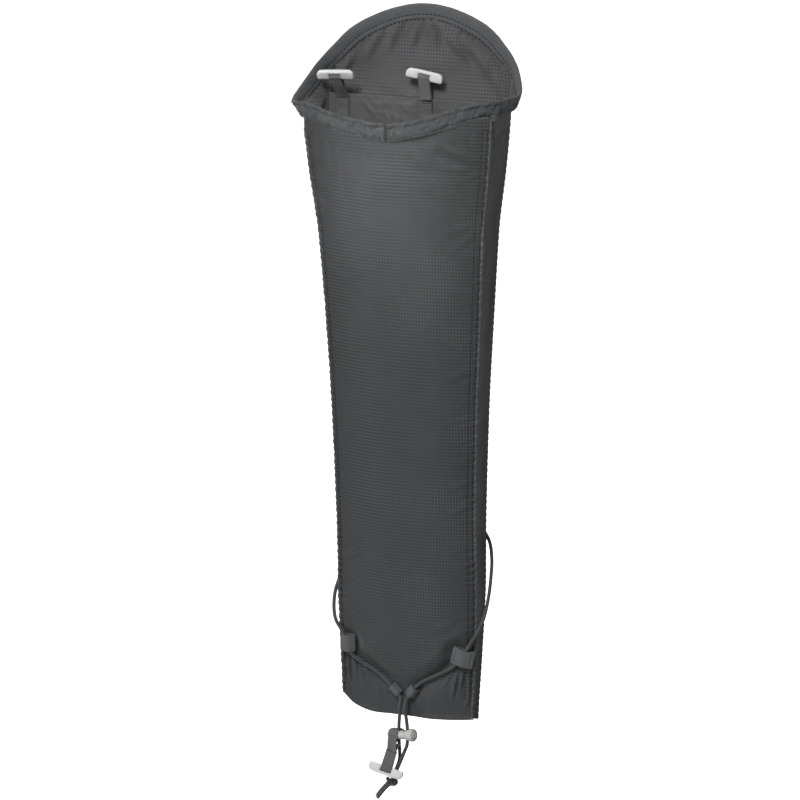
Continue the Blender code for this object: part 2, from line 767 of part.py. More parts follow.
def knot():
    """Rounded lump of the overhand knot, wider than it is high."""
    bm = bmesh.new()
    bmesh.ops.create_uvsphere(bm, u_segments=14, v_segments=8, radius=0.0042)
    for vert in bm.verts:
        vert.co.x *= 1.25
        vert.co.z *= 0.88
    data = bpy.data.meshes.new("cord_knot")
    bm.to_mesh(data)
    bm.free()
    data.transform(Matrix.Rotation(math.radians(12), 4, "Y"))
    obj = add("cord_knot", data, (CORD, 0.8))
    obj.location = KNOT_AT
    data.shade_smooth()


knot()
END = Vector((-0.0085, -0.0005, -0.0120))
for name, start in (("left_cord_end", (-0.0184, -0.0278, -0.5988)), ("right_cord_end", (-0.0166, -0.0313, -0.5992))):
    tube(name, smooth((start, Vector(start) + END * 0.35 + Vector((-0.0004, 0, 0)), Vector(start) + END * 0.7,
                       Vector(start) + END), 0.004), CORD_D / 2, (CORD, 0.8))

# ---------------------------------------------------------------- cord lock
lock_frame = along(AXIS, LOCK)
a0, a1 = LOCK_ENDS
n0, n1 = LOCK_NECK
body = turned("cord_lock_body", [
    (0.0, a1), (LOCK_R - 0.0007, a1), (LOCK_R, a1 - 0.0007), (LOCK_R, n1 + 0.0008),
    (LOCK_NECK_R, n1), (LOCK_NECK_R, n0), (LOCK_R - 0.0003, n0 - 0.0004),
    (LOCK_R - 0.0003, a0 + 0.0008), (LOCK_R - 0.0012, a0), (0.0, a0),
], lock_frame, (CLEAR, 0.25), 24, None, LOCK)
bore = turned("lock_bore", [
    (0.0, a1 + 0.003), (LOCK_BORE_R, a1 + 0.003), (LOCK_BORE_R, a0 + 0.0012), (0.0, a0 + 0.0012),
], lock_frame, None, 20, cutters, LOCK)
cut(body, bore)


def hole_cutter(name, hole, radius, above, below):
    """A slot straight down through the barrel, drawn out along it."""
    at, drawn = hole
    ring = []
    ends = sorted((at, at + drawn))
    for i in range(8):
        a = math.pi / 2 + math.pi * i / 7
        ring.append((ends[0] + radius * math.cos(a), radius * math.sin(a)))
    for i in range(8):
        a = -math.pi / 2 + math.pi * i / 7
        ring.append((ends[1] + radius * math.cos(a), radius * math.sin(a)))
    level = Vector((AXIS.x, AXIS.y, 0)).normalized()
    slot_frame = axes(LOCK + Vector((0, 0, (above - below) / 2)), level, Vector((0, 0, 1)).cross(level), (0, 0, 1))
    cutter = prism(name, [ring], (above + below) / 2, slot_frame, None)
    parts.objects.unlink(cutter)
    cutters.objects.link(cutter)
    return cutter


for hole_name, hole in (("left_cord_hole", LEFT_HOLE), ("right_cord_hole", RIGHT_HOLE)):
    cut(body, hole_cutter(hole_name, hole, CORD_HOLE_R, 0.012, 0.012))

p1 = a1 + 0.0007
plunger = turned("cord_lock_plunger", [
    (0.0, p1 - 0.0012), (0.0006, p1 - 0.0012), (0.0008, p1), (PLUNGER_R - 0.0005, p1), (PLUNGER_R, p1 - 0.0005),
    (PLUNGER_R, -0.0072), (PLUNGER_R - 0.0003, -0.0075), (0.0, -0.0075),
], lock_frame, (CLEAR, 0.25), 20, None, LOCK)
slot_box = bmesh.new()
bmesh.ops.create_cube(slot_box, size=1.0)
slot_data = bpy.data.meshes.new("plunger_slot")
slot_box.to_mesh(slot_data)
slot_box.free()
low, high = LEFT_HOLE[0] - CORD_HOLE_R - 0.0004, RIGHT_HOLE[0] + CORD_HOLE_R + PLUNGER_TRAVEL + 0.0003
slot_data.transform(Matrix.Diagonal((0.0039, 0.016, high - low, 1)))
slot = add("plunger_slot", slot_data, None, cutters)
slot_z = AXIS
slot_x = Vector((0, 0, 1)).cross(slot_z).normalized()
slot.matrix_world = axes(LOCK + AXIS * ((low + high) / 2), slot_x, slot_z.cross(slot_x), slot_z)
cut(plunger, slot)

spring_pts = []
turns, s0, s1 = 3.0, a0 + 0.0017, -0.0080
for i in range(int(turns * 12) + 1):
    a = 2 * math.pi * i / 12
    local = Vector((0.0021 * math.cos(a), 0.0021 * math.sin(a), s0 + (s1 - s0) * i / (turns * 12)))
    spring_pts.append(lock_frame @ local)
tube("cord_lock_spring", spring_pts, 0.0003, (STEEL, 0.3, 1.0), 1)

# ---------------------------------------------------------------- pull tab and its toggle
sew, pull_bar = Vector(PULL_SEW), Vector(PULL_BAR)
web_at = LOCK + AXIS * -0.0069
drop = web_at - sew
up = drop.normalized()
tab_axis = (AXIS - up * AXIS.dot(up)).normalized()
tab_out = tab_axis.cross(up).normalized()
# the wrap goes round the lock's neck, sheared so that its width runs along the neck
wrap = [teardrop(LOCK_NECK_R + 0.0004 + WEB_T, drop.length - 0.0004, 0.00105, True),
        teardrop(LOCK_NECK_R + 0.0004, drop.length - 0.0050, 0.0003, True)]
sheared = Matrix(((tab_out.x, up.x, AXIS.x, web_at.x), (tab_out.y, up.y, AXIS.y, web_at.y),
                  (tab_out.z, up.z, AXIS.z, web_at.z), (0, 0, 0, 1)))
tab = prism("pull_tab_wrap", wrap, WEB_W / 2, sheared, TAPE, LOCK)
cut(tab, hole_cutter("pull_tab_slit", LEFT_HOLE, CORD_HOLE_R + 0.0002, 0.012, 0.020))

tilt = math.radians(PULL_BAR_TILT)
bar_axis = Vector((math.cos(tilt), 0, math.sin(tilt)))
hang = pull_bar - sew
length = hang.length - 0.0014
loop_up = hang.normalized()
loop_out = loop_up.cross(bar_axis).normalized()
prism("pull_tab_loop", loop_rings(length, LOOP_IN_R), WEB_W / 2,
      axes(pull_bar, loop_out, loop_up, bar_axis), TAPE, sew)
toggle_bar("pull_toggle_bar", pull_bar, bar_axis, (loop_up - bar_axis * loop_up.dot(bar_axis)).normalized())
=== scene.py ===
import math
import random

import bmesh
import bpy
import numpy as np
from mathutils import Matrix, Vector, noise


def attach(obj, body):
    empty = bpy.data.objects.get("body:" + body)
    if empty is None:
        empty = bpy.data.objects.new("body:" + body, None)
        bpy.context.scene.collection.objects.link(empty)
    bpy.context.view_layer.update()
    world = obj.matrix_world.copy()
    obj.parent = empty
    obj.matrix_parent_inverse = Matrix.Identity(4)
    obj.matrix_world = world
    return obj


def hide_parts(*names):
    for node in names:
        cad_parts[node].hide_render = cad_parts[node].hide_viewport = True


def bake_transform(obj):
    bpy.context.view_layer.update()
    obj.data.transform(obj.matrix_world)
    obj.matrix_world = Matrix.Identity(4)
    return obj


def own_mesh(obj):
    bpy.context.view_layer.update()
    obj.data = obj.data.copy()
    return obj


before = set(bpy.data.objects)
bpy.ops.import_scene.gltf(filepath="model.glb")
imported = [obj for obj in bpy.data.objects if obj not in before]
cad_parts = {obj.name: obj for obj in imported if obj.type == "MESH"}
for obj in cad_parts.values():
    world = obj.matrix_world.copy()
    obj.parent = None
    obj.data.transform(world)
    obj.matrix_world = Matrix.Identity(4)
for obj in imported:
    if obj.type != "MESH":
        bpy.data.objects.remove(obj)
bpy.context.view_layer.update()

random.seed(7)

# ------------------------------------------------------------------ camera
AIM = Vector((-0.00886, -0.02, -0.25238))
AZ, EL, FAR = math.radians(18), math.radians(18), 2.65
eye = AIM + FAR * Vector((math.sin(AZ) * math.cos(EL), -math.cos(AZ) * math.cos(EL), math.sin(EL)))
cam_data = bpy.data.cameras.new("camera")
cam_data.lens = 36 / (2 * math.tan(math.radians(7.15)))
cam_data.sensor_width = 36
cam_data.clip_end = 50
camera = bpy.data.objects.new("camera", cam_data)
bpy.context.scene.collection.objects.link(camera)
camera.location = eye
camera.rotation_euler = (AIM - eye).to_track_quat("-Z", "Y").to_euler()
bpy.context.scene.camera = camera

# ------------------------------------------------------------------ the sleeve's shape
FOOT_Z, LEFT_RISE, RIGHT_RISE, LEFT_SPREAD = -0.536, 0.0145, 0.0030, 0.0045
LIP_SKEW, MOUTH_SKEW = 0.112, 0.055
SECTIONS = (
    (0.000, 0.0785, 0.0560), (-0.050, 0.0750, 0.0520), (-0.100, 0.0695, 0.0465),
    (-0.170, 0.0660, 0.0400), (-0.250, 0.0625, 0.0360), (-0.350, 0.0605, 0.0310),
    (-0.420, 0.0605, 0.0260), (-0.470, 0.0584, 0.0215), (-0.540, 0.0550, 0.0185),
)
BOWS = ((0.0, 0.0085), (-0.10, 0.0100), (-0.30, 0.0110), (-0.47, 0.0120), (-0.515, 0.0060), (-0.540, 0.0030))
V_Z, V_SPAN, V_LEFT, V_RIGHT, V_CURVE, V_Y = -0.512, 0.055, 0.040, 0.048, 1.3, -0.0220
KEEPERS = {
    "right_side_keeper": ((0.0490, -0.0272, -0.4736), 102.0, 0.0190, 0.0150),
    "left_side_keeper": ((-0.0537, -0.0272, -0.4726), 90.0, 0.0130, 0.0150),
    "left_centre_keeper": ((-0.0117, -0.0261, -0.5113), 45.0, 0.0082, 0.0095),
    "right_centre_keeper": ((0.0037, -0.0261, -0.5110), 124.0, 0.0082, 0.0095),
}
RIM_FREE = (
    (0.0000, -0.0655, -0.0070), (0.0200, -0.0650, -0.0045), (0.0450, -0.0620, 0.0010),
    (0.0680, -0.0560, 0.0065), (0.0835, -0.0490, 0.0068), (0.0920, -0.0410, 0.0065),
    (0.0950, -0.0310, 0.0085), (0.0938, -0.0225, 0.0135), (0.0900, -0.0140, 0.0205),
    (0.0840, -0.0060, 0.0300), (0.0750, 0.0010, 0.0410), (0.0600, 0.0060, 0.0560),
    (0.0430, 0.0095, 0.0655), (0.0210, 0.0115, 0.0730), (0.0000, 0.0120, 0.0756),
)
RIM_SEWN = (
    (0.0000, -0.0650, -0.0220), (0.0200, -0.0645, -0.0195), (0.0450, -0.0615, -0.0140),
    (0.0680, -0.0555, -0.0080), (0.0820, -0.0475, -0.0070), (0.0890, -0.0390, -0.0070),
    (0.0905, -0.0290, -0.0045), (0.0888, -0.0190, 0.0020), (0.0850, -0.0070, 0.0115),
    (0.0785, 0.0020, 0.0210), (0.0680, 0.0060, 0.0320), (0.0535, 0.0085, 0.0460),
    (0.0380, 0.0105, 0.0548), (0.0190, 0.0115, 0.0620), (0.0000, 0.0120, 0.0643),
)
HOOD_BASE = (
    (0.0000, -0.0640, -0.0225), (0.0200, -0.0635, -0.0200), (0.0450, -0.0610, -0.0145),
    (0.0680, -0.0560, -0.0080), (0.0790, -0.0530, -0.0075), (0.0795, -0.0400, -0.0075),
    (0.0795, -0.0270, -0.0070), (0.0793, -0.0140, -0.0065), (0.0785, -0.0030, -0.0050),
    (0.0740, 0.0016, -0.0030), (0.0640, 0.0022, -0.0030), (0.0500, 0.0022, -0.0030),
    (0.0360, 0.0022, -0.0030), (0.0180, 0.0022, -0.0030), (0.0000, 0.0022, -0.0030),
)
TOP_ROW, EAR_ROW, BUTT_X = 14, 6, -0.0075


def spline(a, b, c, d, t):
    return 0.5 * ((2 * b) + (c - a) * t + (2 * a - 5 * b + 4 * c - d) * t * t + (3 * b - a - 3 * c + d) * t ** 3)


def by_height(rows, z, col):
    for i in range(len(rows) - 1):
        if z >= rows[i + 1][0] or i == len(rows) - 2:
            t = max(0.0, min(1.0, (rows[i][0] - z) / (rows[i][0] - rows[i + 1][0])))
            return spline(rows[max(i - 1, 0)][col], rows[i][col], rows[i + 1][col],
                          rows[min(i + 2, len(rows) - 1)][col], t)


def clamp(x, lo=0.0, hi=1.0):
    return max(lo, min(hi, x))


def ease(x):
    x = clamp(x)
    return x * x * (3 - 2 * x)


def half_width(z, side=1):
    extra = LEFT_SPREAD * clamp((-z - 0.40) / 0.13) if side < 0 else 0.0
    return by_height(SECTIONS, z, 1) + extra


def depth(z):
    return by_height(SECTIONS, z, 2)


def rim(table, q, side):
    i = min(int(q), TOP_ROW - 1)
    t = q - i

    def at(j):
        if j < 0:
            p = table[-j]
            return Vector((-p[0], p[1], p[2]))
        if j > TOP_ROW:
            p = table[2 * TOP_ROW - j]
            return Vector((-p[0], p[1], p[2]))
        return Vector(table[j])

    a, b, c, d = at(i - 1), at(i), at(i + 1), at(i + 2)
    p = Vector([spline(a[k], b[k], c[k], d[k], t) for k in range(3)])
    p.x *= side
    lip = clamp((4.0 - q) / 2.0)
    p.z += p.x * (MOUTH_SKEW + (LIP_SKEW - MOUTH_SKEW) * lip)
    return p


def hood_base(q, s):
    p = rim(HOOD_BASE, q, s)
    level = clamp(q - 7.0)
    p.z += level * (-0.0030 - p.z)
    return p


def lip_height(x):
    side, lo, hi = (1 if x >= 0 else -1), 0.0, 4.0
    for _ in range(18):
        mid = (lo + hi) / 2
        lo, hi = (mid, hi) if abs(rim(RIM_SEWN, mid, side).x) < abs(x) else (lo, mid)
    return rim(RIM_SEWN, lo, side).z


def v_line(x):
    return V_Z + (V_RIGHT if x > 0 else V_LEFT) * (abs(x) / V_SPAN) ** V_CURVE


def foot_z(x):
    if x < 0:
        return FOOT_Z + LEFT_RISE * (min(-x, 0.0595) / 0.0595) ** 5
    return FOOT_Z + RIGHT_RISE * (x / 0.055) ** 2


def soft(x, y, z=0.0):
    """Smooth noise, about -1 to 1."""
    return noise.noise(Vector((x, y, z)))


# ------------------------------------------------------------------ mesh makers
collection = bpy.context.scene.collection


def link(name, data):
    obj = bpy.data.objects.new(name, data)
    collection.objects.link(obj)
    return obj


def apply_modifiers(obj):
    bpy.context.view_layer.update()
    graph = bpy.context.evaluated_depsgraph_get()
    made = bpy.data.meshes.new_from_object(obj.evaluated_get(graph))
    old = obj.data
    obj.modifiers.clear()
    obj.data = made
    made.name = old.name
    bpy.data.meshes.remove(old)


def closed_rings(name, rings, uvs=None, caps=True, smooth=True):
    """A solid through closed rings of points, capped at both ends."""
    n, verts, faces = len(rings[0]), [], []
    for ring in rings:
        verts += [tuple(p) for p in ring]
    m = len(rings)
    for j in range(m - 1):
        for i in range(n):
            k = (i + 1) % n
            faces.append((j * n + i, j * n + k, (j + 1) * n + k, (j + 1) * n + i))
    if caps:
        faces.append(tuple(reversed(range(n))))
        faces.append(tuple(range((m - 1) * n, m * n)))
    data = bpy.data.meshes.new(name)
    data.from_pydata(verts, [], faces)
    layer = data.uv_layers.new(name="UVMap")
    for poly in data.polygons:
        for li in poly.loop_indices:
            v = data.loops[li].vertex_index
            j, i = divmod(v, n)
            if uvs:
                a, b = uvs(j, i)
                if len(poly.vertices) == 4 and i == 0 and max(divmod(x, n)[1] for x in poly.vertices) == n - 1:
                    a = uvs(j, n)[0]
                layer.data[li].uv = (a, b)
    bm = bmesh.new()
    bm.from_mesh(data)
    bmesh.ops.recalc_face_normals(bm, faces=bm.faces)
    bm.to_mesh(data)
    bm.free()
    if smooth:
        data.shade_smooth()
        data.set_sharp_from_angle(angle=math.radians(50))
    return link(name, data)


def resample(points, step, closed=False):
    pts = [Vector(p) for p in points]
    pts = [2 * pts[0] - pts[1]] + pts + [2 * pts[-1] - pts[-2]]
    fine = []
    for i in range(1, len(pts) - 2):
        for j in range(20):
            fine.append(Vector([spline(pts[i - 1][k], pts[i][k], pts[i + 1][k], pts[i + 2][k], j / 20) for k in range(3)]))
    fine.append(pts[-2])
    run = [0.0]
    for a, b in zip(fine, fine[1:]):
        run.append(run[-1] + (b - a).length)
    count = max(2, round(run[-1] / step))
    out, k = [], 0
    for i in range(count + 1):
        want = run[-1] * i / count
        while k < len(run) - 2 and run[k + 1] < want:
            k += 1
        t = (want - run[k]) / max(1e-9, run[k + 1] - run[k])
        out.append(fine[k].lerp(fine[k + 1], t))
    return out


def tangents(pts):
    out = []
    for i in range(len(pts)):
        a, b = pts[max(0, i - 1)], pts[min(len(pts) - 1, i + 1)]
        out.append((b - a).normalized())
    return out


def braided(name, pts, radius, sides=12, braid=0.045, taper=0.0):
    """A braided cord along closely spaced points, with its plaits raised."""
    tans = tangents(pts)
    up = Vector((0, 0, 1)) if abs(tans[0].z) < 0.9 else Vector((1, 0, 0))
    side = (up - tans[0] * up.dot(tans[0])).normalized()
    rings, run = [], 0.0
    lengths = []
    for j, (p, t) in enumerate(zip(pts, tans)):
        if j:
            run += (p - pts[j - 1]).length
        lengths.append(run)
        side = (side - t * side.dot(t)).normalized()
        other = t.cross(side)
        ring = []
        for i in range(sides):
            a = 2 * math.pi * i / sides
            w = math.sin(3 * a + 2 * math.pi * run / 0.0052) * math.sin(3 * a - 2 * math.pi * run / 0.0052)
            r = radius * (1 + braid * w)
            ring.append(p + side * (r * math.cos(a)) + other * (r * math.sin(a)))
        rings.append(ring)
    return closed_rings(name, rings, lambda j, i: (i / sides, lengths[j]))


def webbing(name, pts, wide, width, thickness, bulge=0.12):
    """A strip of webbing along the points: wide is its width's direction, one or one for each point."""
    tans = tangents(pts)
    rings, lengths, run = [], [], 0.0
    hw, ht = width / 2, thickness / 2
    section = []
    for i in range(9):
        x = -1 + 2 * i / 8
        section.append((x * hw, ht * (1 - 0.5 * abs(x) ** 6)))
    for i in range(9):
        x = 1 - 2 * i / 8
        section.append((x * hw, -ht * (1 - 0.5 * abs(x) ** 6)))
    for j, (p, t) in enumerate(zip(pts, tans)):
        if j:
            run += (p - pts[j - 1]).length
        lengths.append(run)
        w = wide[j] if isinstance(wide, list) else wide
        w = (w - t * w.dot(t)).normalized()
        n = t.cross(w)
        rings.append([p + w * a + n * b for a, b in section])
    return closed_rings(name, rings, lambda j, i: (section[i % 18][0], lengths[j]))


def stitches(name, pts, outs, length=0.0023, gap=0.0011, radius=0.00027):
    """A row of thread stitches lying on a surface: outs are the surface's outward directions."""
    run, marks = 0.0, [0.0]
    for a, b in zip(pts, pts[1:]):
        run += (b - a).length
        marks.append(run)
    total = marks[-1]

    def at(s):
        s = clamp(s, 0, total)
        k = 0
        lo, hi = 0, len(marks) - 2
        while lo < hi:
            mid = (lo + hi + 1) // 2
            if marks[mid] <= s:
                lo = mid
            else:
                hi = mid - 1
        k = lo
        t = (s - marks[k]) / max(1e-9, marks[k + 1] - marks[k])
        return pts[k].lerp(pts[k + 1], t), outs[k].lerp(outs[k + 1], t).normalized()

    bm = bmesh.new()
    s = gap
    while s + length < total:
        rows = []
        for f, lift in ((0.0, -0.00012), (0.22, 0.00016), (0.78, 0.00016), (1.0, -0.00012)):
            p, n = at(s + length * f)
            p2, _ = at(s + length * f + 0.0003)
            p1, _ = at(s + length * f - 0.0003)
            t = (p2 - p1).normalized()
            w = t.cross(n).normalized()
            r = radius * (0.55 if f in (0.0, 1.0) else 1.0)
            c = p + n * lift
            rows.append([bm.verts.new(c + w * (r * math.cos(a)) + n * (r * math.sin(a)))
                         for a in (math.pi * 2 * i / 5 for i in range(5))])
        for a, b in zip(rows, rows[1:]):
            for i in range(5):
                bm.faces.new((a[i], a[(i + 1) % 5], b[(i + 1) % 5], b[i]))
        bm.faces.new(list(reversed(rows[0])))
        bm.faces.new(rows[-1])
        s += (length + gap) * (1 + 0.06 * random.uniform(-1, 1))
    bmesh.ops.recalc_face_normals(bm, faces=bm.faces)
    data = bpy.data.meshes.new(name)
    bm.to_mesh(data)
    bm.free()
    data.shade_smooth()
    return link(name, data)


def turned(name, profile, axis, origin, steps=40):
    """Profile of (radius, height) turned about the axis through origin."""
    z = Vector(axis).normalized()
    x = Vector((0, 0, 1)).cross(z)
    x = x.normalized() if x.length > 1e-6 else Vector((1, 0, 0))
    y = z.cross(x)
    origin = Vector(origin)
    rings = []
    for r, h in profile:
        rings.append([origin + z * h + x * (r * math.cos(2 * math.pi * i / steps)) + y * (r * math.sin(2 * math.pi * i / steps))
                      for i in range(steps)])
    return closed_rings(name, rings, lambda j, i: (i / steps, profile[j][1]))


def boolean_cut(obj, cutter):
    hole = obj.modifiers.new("cut", "BOOLEAN")
    hole.object = cutter
    hole.operation = "DIFFERENCE"
    hole.solver = "EXACT"
    apply_modifiers(obj)
    bpy.data.objects.remove(cutter, do_unlink=True)


# ------------------------------------------------------------------ materials
def new_material(name):
    made = bpy.data.materials.new(name)
    made.use_nodes = True
    tree = made.node_tree
    return made, tree, tree.nodes["Principled BSDF"]


def node(tree, kind, **values):
    made = tree.nodes.new(kind)
    for key, value in values.items():
        if isinstance(value, tuple) and key == "inputs":
            continue
        setattr(made, key, value)
    return made


def math_node(tree, op, a, b=None, c=None):
    made = tree.nodes.new("ShaderNodeMath")
    made.operation = op
    for i, value in enumerate((a, b, c)):
        if value is None:
            continue
        if isinstance(value, (int, float)):
            made.inputs[i].default_value = value
        else:
            tree.links.new(value, made.inputs[i])
    return made.outputs[0]


def mix_colour(tree, factor, a, b):
    made = tree.nodes.new("ShaderNodeMix")
    made.data_type = "RGBA"
    ins = [s for s in made.inputs if s.enabled]
    for socket, value in zip((made.inputs[0], made.inputs[6], made.inputs[7]), (factor, a, b)):
        if isinstance(value, (tuple, float, int)):
            socket.default_value = value
        else:
            tree.links.new(value, socket)
    return made.outputs[2]


def line_mask(tree, coord, period, width, phase=0.0):
    """1 on a thread line once every period, 0 between."""
    scaled = math_node(tree, "ADD", math_node(tree, "MULTIPLY", coord, 1 / period), phase)
    away = math_node(tree, "ABSOLUTE", math_node(tree, "SUBTRACT", math_node(tree, "FRACT", scaled), 0.5))
    return math_node(tree, "SMOOTH_MIN", 1.0, math_node(tree, "MAXIMUM", 0.0, math_node(tree, "MULTIPLY", math_node(
        tree, "SUBTRACT", width, away), 1 / width)), 0.1)


def fabric(name, base, grid_size=None, grid_gain=0.16, rough=0.62, sheen=0.25, weave=0.00045, variation=0.10,
           grid_bump=0.5, lean=0.0, calm=0.0, painted_edge_shade=0.0):
    made, tree, shader = new_material(name)
    links = tree.links
    uv = tree.nodes.new("ShaderNodeUVMap")
    uv.uv_map = "UVMap"
    split = tree.nodes.new("ShaderNodeSeparateXYZ")
    links.new(uv.outputs[0], split.inputs[0])
    u, v = split.outputs[0], split.outputs[1]
    coords = tree.nodes.new("ShaderNodeTexCoord")
    cloud = tree.nodes.new("ShaderNodeTexNoise")
    cloud.inputs["Scale"].default_value = 38.0
    cloud.inputs["Detail"].default_value = 4.0
    links.new(coords.outputs["Object"], cloud.inputs["Vector"])
    fine = tree.nodes.new("ShaderNodeTexNoise")
    fine.inputs["Scale"].default_value = 900.0
    fine.inputs["Detail"].default_value = 2.0
    links.new(coords.outputs["Object"], fine.inputs["Vector"])
    dark = tuple(c * (1 - variation) for c in base) + (1.0,)
    light = tuple(min(1.0, c * (1 + variation)) for c in base) + (1.0,)
    colour = mix_colour(tree, cloud.outputs[0], dark, light)
    painted_shade = None
    # Painted shade: the colour darkens towards both side seams, and more strongly on the left, where the curved front
    # turns away from the light.
    if painted_edge_shade:
        out = math_node(tree, "MULTIPLY", math_node(tree, "SUBTRACT", math_node(tree, "ABSOLUTE", u), 0.026), 22.0)
        painted_shade = math_node(tree, "MULTIPLY", math_node(tree, "MINIMUM", math_node(tree, "MAXIMUM", out, 0.0), 1.0), painted_edge_shade)
        turned = math_node(tree, "MULTIPLY", math_node(tree, "ADD", u, 0.036), -12.0)
        painted_shade = math_node(tree, "MAXIMUM", painted_shade, math_node(tree, "MINIMUM", turned, 0.44))
    threads = math_node(tree, "MULTIPLY", math_node(tree, "SINE", math_node(tree, "MULTIPLY", u, 2 * math.pi / weave)),
                        math_node(tree, "SINE", math_node(tree, "MULTIPLY", v, 2 * math.pi / weave)))
    height = math_node(tree, "ADD", math_node(tree, "MULTIPLY", threads, 0.12), math_node(tree, "MULTIPLY", fine.outputs[0], 0.2))
    if grid_size:
        across = line_mask(tree, u, grid_size[0], 0.30)
        along = line_mask(tree, v, grid_size[1], 0.30)
        broad = tree.nodes.new("ShaderNodeTexNoise")
        broad.inputs["Scale"].default_value = 13.0
        broad.inputs["Detail"].default_value = 1.0
        links.new(coords.outputs["Object"], broad.inputs["Vector"])
        share = math_node(tree, "MINIMUM", math_node(tree, "MAXIMUM", math_node(
            tree, "MULTIPLY", math_node(tree, "SUBTRACT", broad.outputs[0], 0.30), 3.6), 0.10), 1.0)
        if lean:
            tilt = math_node(tree, "ADD", math_node(tree, "MULTIPLY", u, lean), 0.62)
            share = math_node(tree, "MULTIPLY", share, math_node(tree, "MINIMUM", math_node(tree, "MAXIMUM", tilt, 0.12), 1.0))
        weak = math_node(tree, "MULTIPLY", across, share)
        lines = math_node(tree, "MULTIPLY", math_node(tree, "ADD", weak, math_node(tree, "MULTIPLY", along, 0.85)), 0.62)
        patch = tree.nodes.new("ShaderNodeTexNoise")
        patch.inputs["Scale"].default_value = 26.0
        patch.inputs["Detail"].default_value = 2.0
        links.new(coords.outputs["Object"], patch.inputs["Vector"])
        patchy = math_node(tree, "MINIMUM", math_node(tree, "MAXIMUM", math_node(
            tree, "MULTIPLY", math_node(tree, "SUBTRACT", patch.outputs[0], 0.27), 3.4), 0.18), 1.0)
        if calm:
            low = math_node(tree, "MULTIPLY", math_node(tree, "SUBTRACT", v, calm), 60.0)
            patchy = math_node(tree, "MULTIPLY", patchy, math_node(tree, "MINIMUM", math_node(tree, "MAXIMUM", low, 0.12), 1.0))
        lines = math_node(tree, "ADD", math_node(tree, "MULTIPLY", math_node(tree, "SUBTRACT", lines, 0.25), patchy), 0.25)
        bright = tuple(min(1.0, c * (1 + grid_gain * 6.0)) for c in base) + (1.0,)
        colour = mix_colour(tree, lines, colour, bright)
        height = math_node(tree, "ADD", height, math_node(tree, "MULTIPLY", lines, grid_bump))
    # The painted shade is mixed in towards black.
    if painted_shade:
        colour = mix_colour(tree, painted_shade, colour, (0.0, 0.0, 0.0, 1.0))
    bump = tree.nodes.new("ShaderNodeBump")
    bump.inputs["Strength"].default_value = 0.55
    bump.inputs["Distance"].default_value = 0.0004
    links.new(height, bump.inputs["Height"])
    links.new(bump.outputs[0], shader.inputs["Normal"])
    links.new(colour, shader.inputs["Base Color"])
    shader.inputs["Roughness"].default_value = rough
    shader.inputs["Specular IOR Level"].default_value = 0.35
    shader.inputs["Sheen Weight"].default_value = sheen
    shader.inputs["Sheen Roughness"].default_value = 0.5
    return made


def tape(name, base, rib=0.0011, rough=0.75, contrast=0.22):
    """Woven webbing: ribs across its width, and a finer rib along it."""
    made, tree, shader = new_material(name)
    links = tree.links
    uv = tree.nodes.new("ShaderNodeUVMap")
    uv.uv_map = "UVMap"
    split = tree.nodes.new("ShaderNodeSeparateXYZ")
    links.new(uv.outputs[0], split.inputs[0])
    u, v = split.outputs[0], split.outputs[1]
    slant = math_node(tree, "ADD", math_node(tree, "MULTIPLY", math_node(tree, "ABSOLUTE", u), 1.0), v)
    ribs = math_node(tree, "SINE", math_node(tree, "MULTIPLY", slant, 2 * math.pi / rib))
    warp = math_node(tree, "SINE", math_node(tree, "MULTIPLY", u, 2 * math.pi / 0.0008))
    height = math_node(tree, "ADD", math_node(tree, "MULTIPLY", ribs, 0.5), math_node(tree, "MULTIPLY", warp, 0.35))
    coords = tree.nodes.new("ShaderNodeTexCoord")
    cloud = tree.nodes.new("ShaderNodeTexNoise")
    cloud.inputs["Scale"].default_value = 160.0
    cloud.inputs["Detail"].default_value = 3.0
    links.new(coords.outputs["Object"], cloud.inputs["Vector"])
    # Painted shade: the colour follows the rib height, lighter on the ribs and darker in their hollows, with random
    # tone from the noise.
    shade = math_node(tree, "ADD", math_node(tree, "MULTIPLY", height, 0.25), cloud.outputs[0])
    dark = tuple(c * (1 - contrast) for c in base) + (1.0,)
    light = tuple(c * (1 + contrast) for c in base) + (1.0,)
    colour = mix_colour(tree, math_node(tree, "MAXIMUM", math_node(tree, "MINIMUM", shade, 1.0), 0.0), dark, light)
    bump = tree.nodes.new("ShaderNodeBump")
    bump.inputs["Strength"].default_value = 0.6
    bump.inputs["Distance"].default_value = 0.0003
    links.new(height, bump.inputs["Height"])
    links.new(bump.outputs[0], shader.inputs["Normal"])
    links.new(colour, shader.inputs["Base Color"])
    shader.inputs["Roughness"].default_value = rough
    shader.inputs["Sheen Weight"].default_value = 0.2
    return made


